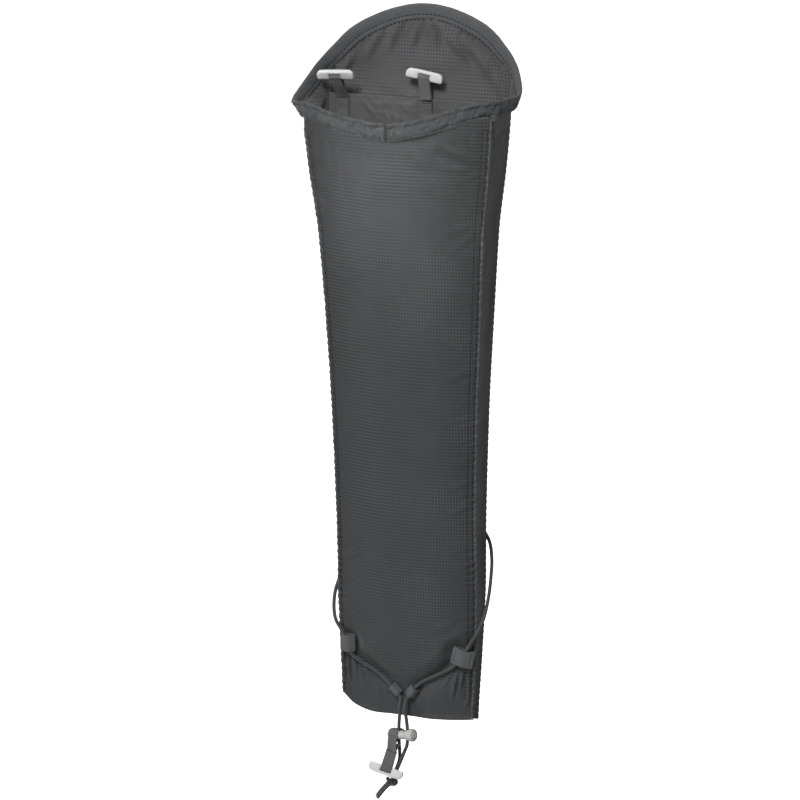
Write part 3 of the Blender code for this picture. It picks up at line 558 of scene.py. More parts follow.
def braid_material(name, base):
    made, tree, shader = new_material(name)
    links = tree.links
    uv = tree.nodes.new("ShaderNodeUVMap")
    uv.uv_map = "UVMap"
    split = tree.nodes.new("ShaderNodeSeparateXYZ")
    links.new(uv.outputs[0], split.inputs[0])
    a = math_node(tree, "MULTIPLY", split.outputs[0], 2 * math.pi * 3)
    s = math_node(tree, "MULTIPLY", split.outputs[1], 2 * math.pi / 0.0052)
    w = math_node(tree, "MULTIPLY", math_node(tree, "SINE", math_node(tree, "ADD", a, s)),
                  math_node(tree, "SINE", math_node(tree, "SUBTRACT", a, s)))
    # Painted shade: the colour follows the plaits' relief, darker in the hollows between them and lighter on their
    # crowns.
    factor = math_node(tree, "ADD", math_node(tree, "MULTIPLY", w, 0.5), 0.5)
    colour = mix_colour(tree, factor, tuple(c * 0.72 for c in base) + (1.0,), tuple(c * 1.25 for c in base) + (1.0,))
    fine = tree.nodes.new("ShaderNodeTexNoise")
    fine.inputs["Scale"].default_value = 1500.0
    coords = tree.nodes.new("ShaderNodeTexCoord")
    links.new(coords.outputs["Object"], fine.inputs["Vector"])
    bump = tree.nodes.new("ShaderNodeBump")
    bump.inputs["Strength"].default_value = 0.4
    bump.inputs["Distance"].default_value = 0.0002
    links.new(math_node(tree, "ADD", fine.outputs[0], w), bump.inputs["Height"])
    links.new(bump.outputs[0], shader.inputs["Normal"])
    links.new(colour, shader.inputs["Base Color"])
    shader.inputs["Roughness"].default_value = 0.7
    shader.inputs["Sheen Weight"].default_value = 0.3
    return made


def plastic(name, base, rough=0.35, clear=0.0, subsurface=0.0, variation=0.03):
    made, tree, shader = new_material(name)
    links = tree.links
    coords = tree.nodes.new("ShaderNodeTexCoord")
    cloud = tree.nodes.new("ShaderNodeTexNoise")
    cloud.inputs["Scale"].default_value = 220.0
    cloud.inputs["Detail"].default_value = 3.0
    links.new(coords.outputs["Object"], cloud.inputs["Vector"])
    colour = mix_colour(tree, cloud.outputs[0], tuple(c * (1 - variation) for c in base) + (1.0,),
                        tuple(min(1.0, c * (1 + variation)) for c in base) + (1.0,))
    links.new(colour, shader.inputs["Base Color"])
    rough_node = math_node(tree, "ADD", math_node(tree, "MULTIPLY", cloud.outputs[0], 0.15), rough - 0.07)
    links.new(rough_node, shader.inputs["Roughness"])
    bump = tree.nodes.new("ShaderNodeBump")
    bump.inputs["Strength"].default_value = 0.08
    bump.inputs["Distance"].default_value = 0.0003
    links.new(cloud.outputs[0], bump.inputs["Height"])
    links.new(bump.outputs[0], shader.inputs["Normal"])
    shader.inputs["Subsurface Weight"].default_value = subsurface
    shader.inputs["Subsurface Radius"].default_value = (0.003, 0.003, 0.003)
    shader.inputs["Subsurface Scale"].default_value = 1.0
    if clear:
        shader.inputs["Transmission Weight"].default_value = clear
    return made


RIPSTOP = fabric("ripstop_mat", (0.052, 0.0543, 0.0565), (0.0025, 0.0029), grid_gain=0.26)
# The front's colour carries painted shade that darkens it towards both seams, standing in for the shading of its curve.
FRONT = fabric("front_ripstop_mat", (0.0515, 0.0540, 0.0562), (0.0025, 0.0029), grid_gain=0.29, lean=9.0, calm=0.022, painted_edge_shade=0.26)
SIDE = fabric("side_ripstop_mat", (0.058, 0.0603, 0.0625), (0.0025, 0.0029), grid_gain=0.10)
# Painted light: the hood is the same ripstop as the front, given a brighter copy of its colour for the light it
# catches; its slight purple tint is the cloth's own.
HOOD = fabric("hood_ripstop_lit_mat", (0.079, 0.0785, 0.0815), (0.0025, 0.0029), grid_gain=0.24)
LINING = fabric("lining_mat", (0.112, 0.114, 0.118), (0.0026, 0.0031), grid_gain=0.03, grid_bump=0.15)
# Painted shade: the front hem is the same binding as the band round the hood; its material is a darker copy of the
# band's, to offset the stronger light the hem catches.
BAND = fabric("band_mat", (0.118, 0.123, 0.129), (0.0026, 0.0031), grid_gain=0.03, grid_bump=0.15)
HEM_SHADED = fabric("hem_shaded_mat", (0.076, 0.080, 0.084), (0.0026, 0.0031), grid_gain=0.03, grid_bump=0.15)
WEB = tape("webbing_mat", (0.170, 0.173, 0.178))
KEEP = tape("keeper_mat", (0.145, 0.149, 0.154), contrast=0.10)
CORD = braid_material("cord_mat", (0.078, 0.080, 0.083))
THREAD = plastic("thread_mat", (0.014, 0.0145, 0.0155), 0.7)
WHITE = plastic("toggle_mat", (0.965, 0.968, 0.97), 0.34, subsurface=0.15)
CLEAR = plastic("lock_mat", (0.74, 0.74, 0.72), 0.28, subsurface=0.2)
# On the seam ridges the strong rib contrast paints shade between the puckered beads.
DARKTAPE = tape("binding_mat", (0.098, 0.101, 0.106), rib=0.0037, contrast=0.60)


def dress(obj, look, body, slot, *nodes):
    obj.data.materials.clear()
    obj.data.materials.append(look)
    if body:
        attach(obj, body)
    if nodes:
        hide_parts(*nodes)
    return obj


# ------------------------------------------------------------------ cords first
LOCK_AT, LOCK_YAW, LOCK_TILT = Vector((-0.0026, -0.0310, -0.5495)), math.radians(-18), math.radians(11)
LOCK_AXIS = Vector((math.cos(LOCK_TILT) * math.cos(LOCK_YAW), math.cos(LOCK_TILT) * math.sin(LOCK_YAW), math.sin(LOCK_TILT)))
LEFT_IN, RIGHT_IN = LOCK_AT + LOCK_AXIS * -0.0044, LOCK_AT + LOCK_AXIS * 0.0050
CORD_R = 0.0015

HELD = (
    (-0.0074, -0.0262, -0.5156), (-0.0117, -0.0261, -0.5113), (-0.0175, -0.0257, -0.5055),
    (-0.0248, -0.0251, -0.4990), (-0.0345, -0.0251, -0.4932), (-0.0445, -0.0262, -0.4873),
    (-0.0511, -0.0271, -0.4812), (-0.0542, -0.0272, -0.4726), (-0.0575, -0.0272, -0.4638),
    (-0.0646, -0.0258, -0.4530), (-0.0684, -0.0195, -0.4430), (-0.0698, -0.0110, -0.4320),
    (-0.0680, -0.0020, -0.4210), (-0.0635, 0.0042, -0.4080), (-0.0530, 0.0060, -0.3900),
    (-0.0370, 0.0062, -0.3680), (-0.0190, 0.0062, -0.3500), (0.0000, 0.0062, -0.3425),
    (0.0190, 0.0062, -0.3440), (0.0380, 0.0062, -0.3530), (0.0530, 0.0060, -0.3650),
    (0.0625, 0.0035, -0.3770), (0.0672, -0.0040, -0.3900), (0.0690, -0.0120, -0.4030),
    (0.0692, -0.0190, -0.4180), (0.0672, -0.0240, -0.4340), (0.0625, -0.0262, -0.4480),
    (0.0568, -0.0270, -0.4580), (0.0520, -0.0272, -0.4670), (0.0465, -0.0272, -0.4760),
    (0.0400, -0.0266, -0.4835), (0.0310, -0.0256, -0.4900), (0.0200, -0.0250, -0.4965),
    (0.0120, -0.0254, -0.5015), (0.0075, -0.0259, -0.5060), (0.0037, -0.0261, -0.5110),
    (0.0005, -0.0262, -0.5157),
)
held = braided("shock_cord_braid", resample(HELD, 0.0009), CORD_R)
dress(held, CORD, "sleeve", "cord", "shock_cord")

LEFT_TAIL = (
    (-0.0074, -0.0262, -0.5156), (-0.0064, -0.0267, -0.5170), (-0.0059, -0.0277, -0.5190),
    (-0.0059, -0.0289, -0.5222), (-0.0062, -0.0297, -0.5265), (LEFT_IN.x + 0.0006, LEFT_IN.y, -0.5320),
    (LEFT_IN.x + 0.0001, LEFT_IN.y, -0.5410), (LEFT_IN.x, LEFT_IN.y, LEFT_IN.z),
    (LEFT_IN.x + 0.0003, LEFT_IN.y, -0.5590), (-0.0060, -0.0296, -0.5660), (-0.0064, -0.0288, -0.5735),
    (-0.0086, -0.0282, -0.5810), (-0.0112, -0.0280, -0.5870), (-0.0132, -0.0284, -0.5925),
)
RIGHT_TAIL = (
    (0.0005, -0.0262, -0.5157), (-0.0004, -0.0267, -0.5172), (-0.0009, -0.0279, -0.5192),
    (-0.0012, -0.0298, -0.5225), (-0.0011, -0.0318, -0.5268), (RIGHT_IN.x - 0.0016, RIGHT_IN.y + 0.0005, -0.5325),
    (RIGHT_IN.x - 0.0004, RIGHT_IN.y, -0.5410), (RIGHT_IN.x, RIGHT_IN.y, RIGHT_IN.z),
    (RIGHT_IN.x - 0.0006, RIGHT_IN.y, -0.5580), (-0.0012, -0.0325, -0.5655), (-0.0042, -0.0321, -0.5735),
    (-0.0072, -0.0316, -0.5810), (-0.0102, -0.0312, -0.5870), (-0.0122, -0.0310, -0.5925),
)
KNOT = Vector((-0.0140, -0.0295, -0.5955))


def knot_piece():
    """An overhand knot of the two cords together."""
    pts = []
    for i in range(73):
        t = 2 * math.pi * i / 72
        p = Vector((math.sin(t) + 1.7 * math.sin(2 * t), -math.sin(3 * t) * 1.1, math.cos(t) - 1.7 * math.cos(2 * t)))
        p = Matrix.Rotation(math.radians(25), 3, "Y") @ p
        pts.append(KNOT + Vector((p.x * 0.00180, p.y * 0.0017, p.z * 0.00125 - 0.0006)))
    return braided("knot", pts[:-1] + [pts[0].lerp(pts[-2], 0.02)], 0.00155, 12, 0.05)


knot = dress(knot_piece(), CORD, "sleeve", "cord", "cord_knot")
for name, pts, node_name in (("cord_tail_left", LEFT_TAIL, "left_cord_tail"), ("cord_tail_right", RIGHT_TAIL, "right_cord_tail")):
    path = resample(pts, 0.0009)
    tail = braided(name, path, CORD_R)
    dress(tail, CORD, "sleeve", "cord", node_name)


def cut_end(name, start, end, seed):
    """A cut cord end with its sheath's fibres standing out."""
    path = resample((start, start.lerp(end, 0.5) + Vector((-0.0003, 0, 0.0002)), end), 0.0008)
    made = braided(name, path, CORD_R * 0.97)
    rnd = random.Random(seed)
    bm = bmesh.new()
    bm.from_mesh(made.data)
    way = (end - start).normalized()
    for _ in range(16):
        a = Vector((rnd.uniform(-1, 1), rnd.uniform(-1, 1), rnd.uniform(-1, 1)))
        a = (a - way * a.dot(way)).normalized()
        base = end + a * CORD_R * rnd.uniform(0.2, 0.85) - way * 0.0008
        tip = end + a * CORD_R * rnd.uniform(0.7, 1.7) + way * rnd.uniform(0.0006, 0.0020)
        b = way.cross(a)
        ring = [bm.verts.new(base + (a * math.cos(k * 2.094) + b * math.sin(k * 2.094)) * 0.00022) for k in range(3)]
        top = [bm.verts.new(tip + (a * math.cos(k * 2.094) + b * math.sin(k * 2.094)) * 0.00010) for k in range(3)]
        for k in range(3):
            bm.faces.new((ring[k], ring[(k + 1) % 3], top[(k + 1) % 3], top[k]))
        bm.faces.new(list(reversed(ring)))
        bm.faces.new(top)
    bmesh.ops.recalc_face_normals(bm, faces=bm.faces)
    bm.to_mesh(made.data)
    bm.free()
    return made


END = Vector((-0.0085, -0.0005, -0.0120))
for name, start, stop, node_name, seed in (
        ("cut_end_left", Vector((-0.0166, -0.0282, -0.5972)), Vector((-0.0184, -0.0278, -0.5988)) + END, "left_cord_end", 3),
        ("cut_end_right", Vector((-0.0148, -0.0311, -0.5976)), Vector((-0.0166, -0.0313, -0.5992)) + END, "right_cord_end", 5)):
    dress(cut_end(name, start, stop, seed), CORD, "sleeve", "cord", node_name)

# ------------------------------------------------------------------ cloth
CLOTH = 0.0007
X0 = np.newaxis


def ridge(x):
    """A rounded crease: 1 on its line, 0 far from it."""
    return np.exp(-x * x)


def creases(a, b, marks):
    """Sum of creases in the plane of a and b: marks are (a0, b0, a1, b1, height, width)."""
    out = np.zeros_like(a)
    for a0, b0, a1, b1, tall, wide in marks:
        da, db = a1 - a0, b1 - b0
        size = math.hypot(da, db)
        ta, tb = da / size, db / size
        s = ((a - a0) * ta + (b - b0) * tb) / size
        e = ((b - b0) * ta - (a - a0) * tb) / wide
        along = np.clip(s, 0, 1)
        fade = np.where((s > -0.2) & (s < 1.2), np.cos((along - 0.45) * math.pi * 0.8) ** 2, 0.0)
        fade = fade * np.exp(-(((s - along) * 6) ** 2))
        out += tall * fade * (ridge(e) - 0.35 * ridge((e - 1.6) / 1.1) - 0.2 * ridge((e + 1.7) / 1.2))
    return out


def noise_field(a, b, scale_a, scale_b, seed):
    flat = np.array([noise.noise(Vector((x * scale_a, y * scale_b, seed * 7.31))) for x, y in zip(a.ravel(), b.ravel())])
    return flat.reshape(a.shape)


def normals_of(p, hint):
    du = np.gradient(p, axis=1)
    dv = np.gradient(p, axis=0)
    n = np.cross(du, dv)
    n /= np.maximum(np.linalg.norm(n, axis=2, keepdims=True), 1e-12)
    mid = n[n.shape[0] // 2, n.shape[1] // 2]
    return n if float(np.dot(mid, hint)) > 0 else -n


class Cloth:
    """A sheet over a grid of points, pushed out along its normals, then thickened."""

    def __init__(self, name, points, bumps, uv, hint, thickness=CLOTH):
        self.n = normals_of(points, hint)
        self.p = points + self.n * bumps[..., None]
        self.n = normals_of(self.p, hint)
        rows, cols = self.p.shape[:2]
        index = np.arange(rows * cols).reshape(rows, cols)
        quads = np.stack((index[:-1, :-1], index[:-1, 1:], index[1:, 1:], index[1:, :-1]), axis=-1).reshape(-1, 4)
        data = bpy.data.meshes.new(name)
        data.from_pydata(self.p.reshape(-1, 3).tolist(), [], quads.tolist())
        layer = data.uv_layers.new(name="UVMap")
        corner = np.zeros(len(data.loops), dtype=np.int32)
        data.loops.foreach_get("vertex_index", corner)
        layer.data.foreach_set("uv", uv.reshape(-1, 2)[corner].astype(np.float32).ravel())
        self.area = sum(face.area for face in data.polygons)
        self.obj = link(name, data)
        thick = self.obj.modifiers.new("thickness", "SOLIDIFY")
        thick.thickness = thickness
        thick.offset = 0.0
        apply_modifiers(self.obj)
        bm = bmesh.new()
        bm.from_mesh(self.obj.data)
        bmesh.ops.recalc_face_normals(bm, faces=bm.faces)
        bm.to_mesh(self.obj.data)
        bm.free()
        self.obj.data.shade_smooth()

    def at(self, u, v, lift):
        """Point and normal at shares u across and v along, lifted off the surface."""
        rows, cols = self.p.shape[:2]
        x, y = clamp(u) * (cols - 1), clamp(v) * (rows - 1)
        i, j = min(int(x), cols - 2), min(int(y), rows - 2)
        a, b = x - i, y - j
        mix = lambda t: (t[j, i] * (1 - a) + t[j, i + 1] * a) * (1 - b) + (t[j + 1, i] * (1 - a) + t[j + 1, i + 1] * a) * b
        n = Vector(mix(self.n)).normalized()
        return Vector(mix(self.p)) + n * lift, n


def arc_uv(points):
    """UVs in metres: along the middle row and the middle column."""
    rows, cols = points.shape[:2]
    row, col = points[rows // 2], points[:, cols // 2]
    u = np.concatenate(([0.0], np.cumsum(np.linalg.norm(np.diff(row, axis=0), axis=1))))
    v = np.concatenate(([0.0], np.cumsum(np.linalg.norm(np.diff(col, axis=0), axis=1))))
    return np.stack(np.meshgrid(u, v), axis=-1)


def woven_uv(points, along=2):
    """UVs in metres that keep the weave straight: across each row from its middle, and up by height."""
    rows, cols = points.shape[:2]
    across = np.linalg.norm(np.diff(points, axis=1), axis=2)
    u = np.concatenate((np.zeros((rows, 1)), np.cumsum(across, axis=1)), axis=1)
    u -= u[:, cols // 2][:, None]
    col = points[:, cols // 2]
    run = np.concatenate(([0.0], np.cumsum(np.linalg.norm(np.diff(col, axis=0), axis=1))))
    v = np.interp(points[..., along], col[:, along], run)
    over = points[..., along] - col[-1, along]
    v = np.where(over > 0, run[-1] + over, v)
    under = points[..., along] - col[0, along]
    v = np.where(under < 0, under, v)
    return np.stack((u, v), axis=-1)


def flat_size(points):
    """Widest row and longest column of a panel, as it was cut."""
    across = np.linalg.norm(np.diff(points, axis=1), axis=2).sum(axis=1).max()
    along = np.linalg.norm(np.diff(points, axis=0), axis=2).sum(axis=0).max()
    return float(across), float(along)


def seam_fans(side, count, seed, low=-0.50, high=-0.03):
    """Small tension folds that run in from a side seam, as (x, z) creases."""
    rnd, out = random.Random(seed), []
    for _ in range(count):
        z = rnd.uniform(low, high)
        reach, slope = rnd.uniform(0.008, 0.026), rnd.uniform(-0.9, 0.5)
        x = side * (half_width(z, side) - 0.002)
        out.append((x, z, x - side * reach, z + slope * reach, rnd.uniform(0.00015, 0.00045), rnd.uniform(0.0013, 0.0030)))
    return out


# ------------------------------------------------------------------ front panel
def front_base(x, z):
    hw = half_width(z, -1 if x < 0 else 1)
    across = min(1.0, abs(x) / hw)
    y = -depth(z) - by_height(BOWS, z, 1) * (1 - across ** 2.4)
    d = z - v_line(x)
    y -= 0.0016 * math.exp(-(((d - 0.018) / 0.010) ** 2)) * (1 - across ** 6)
    w = 0.0098 if d > 0 else 0.0125
    pressed = math.exp(-((d / w) ** 2))
    for (px, _, pz), _, across_web, along_web in KEEPERS.values():
        radius = 0.60 * math.hypot(across_web, along_web) + 0.0010
        pressed = max(pressed, math.exp(-((math.hypot(x - px, z - pz) / radius) ** 4)))
    y += pressed * (V_Y - y)
    drop = 0.0016 * math.exp(-(((d - 0.0100) / 0.0045) ** 2)) * (1 - 0.9 * max(
        math.exp(-((math.hypot(x - at[0], z - at[2]) / 0.014) ** 4)) for at, *_ in KEEPERS.values()))
    return Vector((x, y, z - drop))


def gathered(s):
    """Shares across the front, with the columns closer together towards the seams."""
    return s + 0.115 * math.sin(math.pi * s)


def ungathered(share):
    lo, hi = -1.0, 1.0
    for _ in range(24):
        mid = (lo + hi) / 2
        lo, hi = (mid, hi) if gathered(mid) < share else (lo, mid)
    return (lo + hi) / 2


def front_grid(cols, rows):
    out = np.zeros((rows, cols, 3))
    for i in range(cols):
        share = gathered(2 * i / (cols - 1) - 1)
        side = -1 if share < 0 else 1
        top = lip_height(share * (half_width(-0.02, side) - 0.0008)) + 0.0030
        low = foot_z(share * (half_width(FOOT_Z, side) - 0.0008))
        for j in range(rows):
            z = low + (top - low) * (j / (rows - 1)) ** 0.96
            out[j, i] = front_base(share * (half_width(z, side) - 0.0006), z)
    return out


cols, rows = 131, 371
P = front_grid(cols, rows)
X, Z = P[..., 0], P[..., 2]
HW = np.array([[half_width(z, -1 if x < 0 else 1) for x, z in zip(xr, zr)] for xr, zr in zip(X, Z)])
EDGE = np.maximum(HW - np.abs(X), 0.0)
TOP = Z[-1:, :]
rough = noise_field(X, Z, 60, 60, 3)
strong = 1 + 0.9 * np.exp(-(((Z + 0.355) / 0.055) ** 2)) * (X > 0) + 0.5 * np.exp(-(((Z + 0.43) / 0.03) ** 2))
beads = np.cos(2 * math.pi * (Z + 0.22 * EDGE) / 0.0062 + 2.6 * noise_field(X * 0, Z, 1, 40, 5))
D = 0.00062 * strong * (0.50 + 1.1 * rough) * beads * np.exp(-EDGE / 0.0055)
D += 0.0010 * noise_field(X, Z, 10, 7.5, 1) * np.clip(EDGE / 0.02, 0, 1)
D += 0.0040 * np.exp(-(((X + 0.012) / 0.042) ** 2) - (((Z + 0.070) / 0.050) ** 2)) * np.clip(EDGE / 0.02, 0, 1)
D += 0.00065 * noise_field(X, Z, 30, 24, 2) + 0.00024 * noise_field(X, Z, 95, 80, 4)
D += creases(X, Z, [
    (0.067, -0.036, 0.030, -0.020, 0.0010, 0.0032), (0.066, -0.044, 0.036, -0.040, 0.0006, 0.0025),
    (0.068, -0.074, 0.026, -0.060, 0.0009, 0.0034), (0.067, -0.088, 0.034, -0.098, 0.0008, 0.0032),
    (0.066, -0.094, 0.040, -0.118, 0.0006, 0.0028), (0.064, -0.150, 0.036, -0.142, 0.0006, 0.0030),
    (0.062, -0.212, 0.034, -0.226, 0.0006, 0.0032), (0.061, -0.300, 0.038, -0.294, 0.0006, 0.0026),
    (0.060, -0.330, 0.036, -0.345, 0.0007, 0.0028), (0.060, -0.372, 0.034, -0.365, 0.0007, 0.0026),
    (-0.070, -0.060, -0.044, -0.050, 0.0006, 0.0030), (-0.066, -0.128, -0.038, -0.138, 0.0006, 0.0035),
    (-0.063, -0.205, -0.040, -0.195, 0.0005, 0.0030), (-0.061, -0.300, -0.036, -0.312, 0.0005, 0.0032),
    (-0.060, -0.392, -0.034, -0.384, 0.0007, 0.0030), (-0.060, -0.430, -0.040, -0.445, 0.0008, 0.0028),
    (-0.012, -0.030, -0.020, -0.105, 0.0008, 0.0060), (0.020, -0.026, 0.012, -0.085, 0.0006, 0.0055),
    (-0.046, -0.034, -0.038, -0.090, 0.0005, 0.0050), (0.046, -0.440, 0.020, -0.452, 0.0008, 0.0035),
    (-0.040, -0.452, -0.014, -0.470, 0.0008, 0.0035), (0.002, -0.452, 0.026, -0.470, 0.0007, 0.0035),
    (-0.0585, -0.480, -0.0610, -0.500, 0.0016, 0.0015), (-0.0550, -0.483, -0.0535, -0.516, 0.0019, 0.0014),
    (-0.0500, -0.482, -0.0455, -0.505, 0.0020, 0.0015), (-0.0470, -0.487, -0.0390, -0.512, 0.0011, 0.0017),
    (-0.0590, -0.505, -0.0540, -0.522, 0.0009, 0.0018), (-0.0415, -0.491, -0.0340, -0.502, 0.0008, 0.0016),
    (0.0330, -0.493, 0.0230, -0.503, 0.0009, 0.0017), (0.0385, -0.489, 0.0290, -0.507, 0.0014, 0.0015),
    (0.0435, -0.488, 0.0375, -0.519, 0.0021, 0.0015), (0.0480, -0.487, 0.0460, -0.506, 0.0021, 0.0014),
    (0.0530, -0.484, 0.0520, -0.522, 0.0015, 0.0015), (0.0545, -0.508, 0.0480, -0.526, 0.0009, 0.0018),
    (-0.012, -0.520, -0.016, -0.532, 0.0006, 0.0018), (0.006, -0.520, 0.010, -0.532, 0.0006, 0.0018),
    (-0.028, -0.508, -0.024, -0.530, 0.0006, 0.0026), (0.020, -0.512, 0.018, -0.531, 0.0006, 0.0026),
])
D += creases(X, Z, seam_fans(1, 46, 11) + seam_fans(-1, 40, 12))
under = np.clip((TOP - Z - 0.012) / 0.002, 0, 1) * np.exp(-np.clip(TOP - Z - 0.014, 0, 1) / 0.012)
D += 0.00045 * under * np.cos(2 * math.pi * X / 0.011 + 2 * noise_field(X, Z, 30, 10, 8))
foot = np.clip((Z - np.array([[foot_z(x) for x in row] for row in X])) / 0.0035, 0, 1)
D += 0.0007 * (1 - foot ** 2) - 0.0005 * ridge((foot - 1.0) / 0.25) * (foot < 1.4)
still = np.zeros_like(X)
for at, *_ in KEEPERS.values():
    still = np.maximum(still, np.exp(-((np.hypot(X - at[0], Z - at[2]) / 0.009) ** 4)))
D *= 1 - 0.85 * still
travel = np.exp(-(((X + 0.006) / 0.019) ** 4) - (((Z + 0.532) / 0.017) ** 4))
D = D * (1 - 0.9 * travel) - 0.0013 * travel
front = Cloth("front_cloth", P, D, woven_uv(P), (0, -1, 0))
dress(front.obj, FRONT, "sleeve", "ripstop", "front_panel")

# ------------------------------------------------------------------ gussets, back and floor
def gusset_grid(side, cols, rows):
    top = -0.0085 + MOUTH_SKEW * 0.079 * side
    front_low = foot_z(side * 0.0590)
    back_low = FOOT_Z + (LEFT_RISE if side < 0 else -0.0045)
    out = np.zeros((rows, cols, 3))
    for j in range(rows):
        for i in range(cols):
            u, v = i / (cols - 1), j / (rows - 1)
            low = front_low + (back_low - front_low) * u
            z = low + (top - low) * v
            d = depth(z)
            y = -d + 0.0003 + (d + 0.0008) * u
            sag = 0.0020 * math.sin(math.pi * u) * min(1.0, -z / 0.1)
            out[j, i] = (side * (half_width(z, side) - sag), y, z)
    return out


for side, name in ((-1, "left"), (1, "right")):
    P = gusset_grid(side, 31, 371)
    Y, Z = P[..., 1], P[..., 2]
    DEEP = np.array([[depth(z) for z in row] for row in Z])
    EDGE_F, EDGE_B = np.maximum(Y + DEEP, 0), np.maximum(-Y, 0)
    D = 0.00038 * np.cos(2 * math.pi * Z / 0.0056) * (np.exp(-EDGE_F / 0.005) + 0.6 * np.exp(-EDGE_B / 0.005))
    D += np.clip(EDGE_F / 0.008, 0, 1) * np.clip(EDGE_B / 0.008, 0, 1) * (
        0.0011 * noise_field(Y, Z, 34, 16, 20 + side) + 0.0005 * noise_field(Y, Z, 90, 60, 22 + side))
    rnd = random.Random(31 + side)
    marks = []
    for _ in range(46):
        z = rnd.uniform(-0.50, -0.02)
        y, reach, slope = -depth(z) + 0.002, rnd.uniform(0.006, 0.020), rnd.uniform(-1.0, 0.8)
        marks.append((y, z, y + reach, z + slope * reach, rnd.uniform(0.0002, 0.0006), rnd.uniform(0.0013, 0.0028)))
    D += creases(Y, Z, marks)
    D = np.minimum(D, 0.0012)
    made = Cloth(name + "_gusset_cloth", P, D, woven_uv(P), (side, 0, 0))
    dress(made.obj, SIDE, "sleeve", "ripstop", name + "_gusset")
    if side > 0:
        right_gusset = made
    else:
        left_gusset = made

cols, rows = 71, 271
P = np.zeros((rows, cols, 3))
for i in range(cols):
    share = 2 * i / (cols - 1) - 1
    side = -1 if share < 0 else 1
    low = FOOT_Z + (LEFT_RISE * (-share) ** 5 if share < 0 else -0.0045 * share ** 5)
    for j in range(rows):
        z = low + (-0.0045 - low) * j / (rows - 1)
        P[j, i] = (share * (half_width(z, side) - 0.0002), 0.0009, z)
X, Z = P[..., 0], P[..., 2]
HW = np.array([[half_width(z, -1 if x < 0 else 1) for x, z in zip(xr, zr)] for xr, zr in zip(X, Z)])
EDGE = np.maximum(HW - np.abs(X), 0.0)
D = -0.0004 * (0.5 + 0.5 * noise_field(X, Z, 14, 10, 41)) - 0.00025 * (0.5 + 0.5 * np.cos(2 * math.pi * Z / 0.0058)) * np.exp(-EDGE / 0.006)
D -= np.abs(creases(X, Z, seam_fans(1, 30, 51) + seam_fans(-1, 30, 52))) * 0.7
back = Cloth("back_cloth", P, D, woven_uv(P), (0, 1, 0), 0.0006)
dress(back.obj, RIPSTOP, "sleeve", "ripstop", "back_panel")

cols, rows = 91, 17
P = np.zeros((rows, cols, 3))
for i in range(cols):
    x = -0.0580 + 0.1120 * i / (cols - 1)
    z = foot_z(x) + 0.0010
    y = front_base(x, max(z, FOOT_Z)).y + 0.0008
    for j in range(rows):
        v = j / (rows - 1)
        P[j, i] = (x, y + (0.0004 - y) * v, z + 0.0022 * math.sin(math.pi * v) + 0.002 * v)
D = 0.0005 * noise_field(P[..., 0], P[..., 1], 70, 70, 61)
floor_cloth = Cloth("floor_cloth", P, D, arc_uv(P), (0, 0, -1))
dress(floor_cloth.obj, RIPSTOP, "sleeve", "ripstop", "floor_panel")

# ------------------------------------------------------------------ hanger panel
cols, rows = 101, 71
P = np.zeros((rows, cols, 3))
for i in range(cols):
    share = 2 * i / (cols - 1) - 1
    for j in range(rows):
        v = j / (rows - 1)
        z = -0.110 * (1 - v)
        w = min(0.0760, half_width(z) - 0.0014)
        P[j, i] = (share * w, -0.0006, z)
X, Z = P[..., 0], P[..., 2]
near_tack = np.maximum(np.exp(-((np.hypot(X + 0.0636, (Z + 0.015) * 0.6) / 0.010) ** 4)),
                       np.exp(-((np.hypot(X - 0.0078, (Z + 0.015) * 0.6) / 0.010) ** 4)))
low_part = np.clip(-Z / 0.006, 0, 1)
bag = creases(X, Z, [
    (-0.047, -0.004, -0.030, -0.024, 0.0012, 0.0022), (-0.040, -0.012, -0.010, -0.018, 0.0010, 0.0024),
    (-0.030, -0.006, -0.014, -0.030, 0.0009, 0.0022), (0.018, -0.006, 0.046, -0.020, 0.0010, 0.0028),
    (0.014, -0.030, 0.050, -0.046, 0.0012, 0.0035), (-0.055, -0.030, -0.030, -0.052, 0.0012, 0.0035),
    (-0.024, -0.009, -0.004, -0.026, 0.0018, 0.0022), (-0.016, -0.006, 0.000, -0.016, 0.0013, 0.0020),
    (-0.020, -0.020, 0.000, -0.050, 0.0008, 0.0030), (0.030, -0.004, 0.066, -0.010, 0.0009, 0.0024),
])
D = np.abs(bag) * (1 - near_tack) + low_part * (1 - near_tack) * (
    0.0014 * (0.5 + 0.5 * noise_field(X, Z, 26, 18, 71)) + 0.0004 * (0.5 + noise_field(X, Z, 80, 60, 72)))
D += 0.0005 * ridge((Z + 0.0004) / 0.0010)
hanger = Cloth("hanger_cloth", P, D, arc_uv(P), (0, -1, 0), 0.0005)
dress(hanger.obj, LINING, "sleeve", "lining", "hanger_panel")

def rim_at(length):
    """Free edge and sewn edge at a place along the rim: rows out from the front on +X, back on -X."""
    if length < 0:
        q, s = -length, -1
    elif length <= TOP_ROW:
        q, s = length, 1
    else:
        q, s = 2 * TOP_ROW - length, -1
    if q < 0:
        q, s = -q, 1
    free, sewn = rim(RIM_FREE, q, s), rim(RIM_SEWN, q, s)
    if s < 0:
        lift = math.exp(-(((q - 5.3) / 0.8) ** 2))
        sewn.z += 0.0045 * lift
        free.x -= 0.0015 * lift
        free.z -= 0.0010 * lift
    if s > 0:
        pull = math.exp(-(((q - 5.0) / 1.1) ** 2))
        for edge in (free, sewn):
            edge.x -= 0.0050 * pull
            edge.z += 0.0030 * pull
    wider = ease((q - 6.0) / 2.5)
    sewn += (sewn - free) * (0.26 * wider)
    return free, sewn


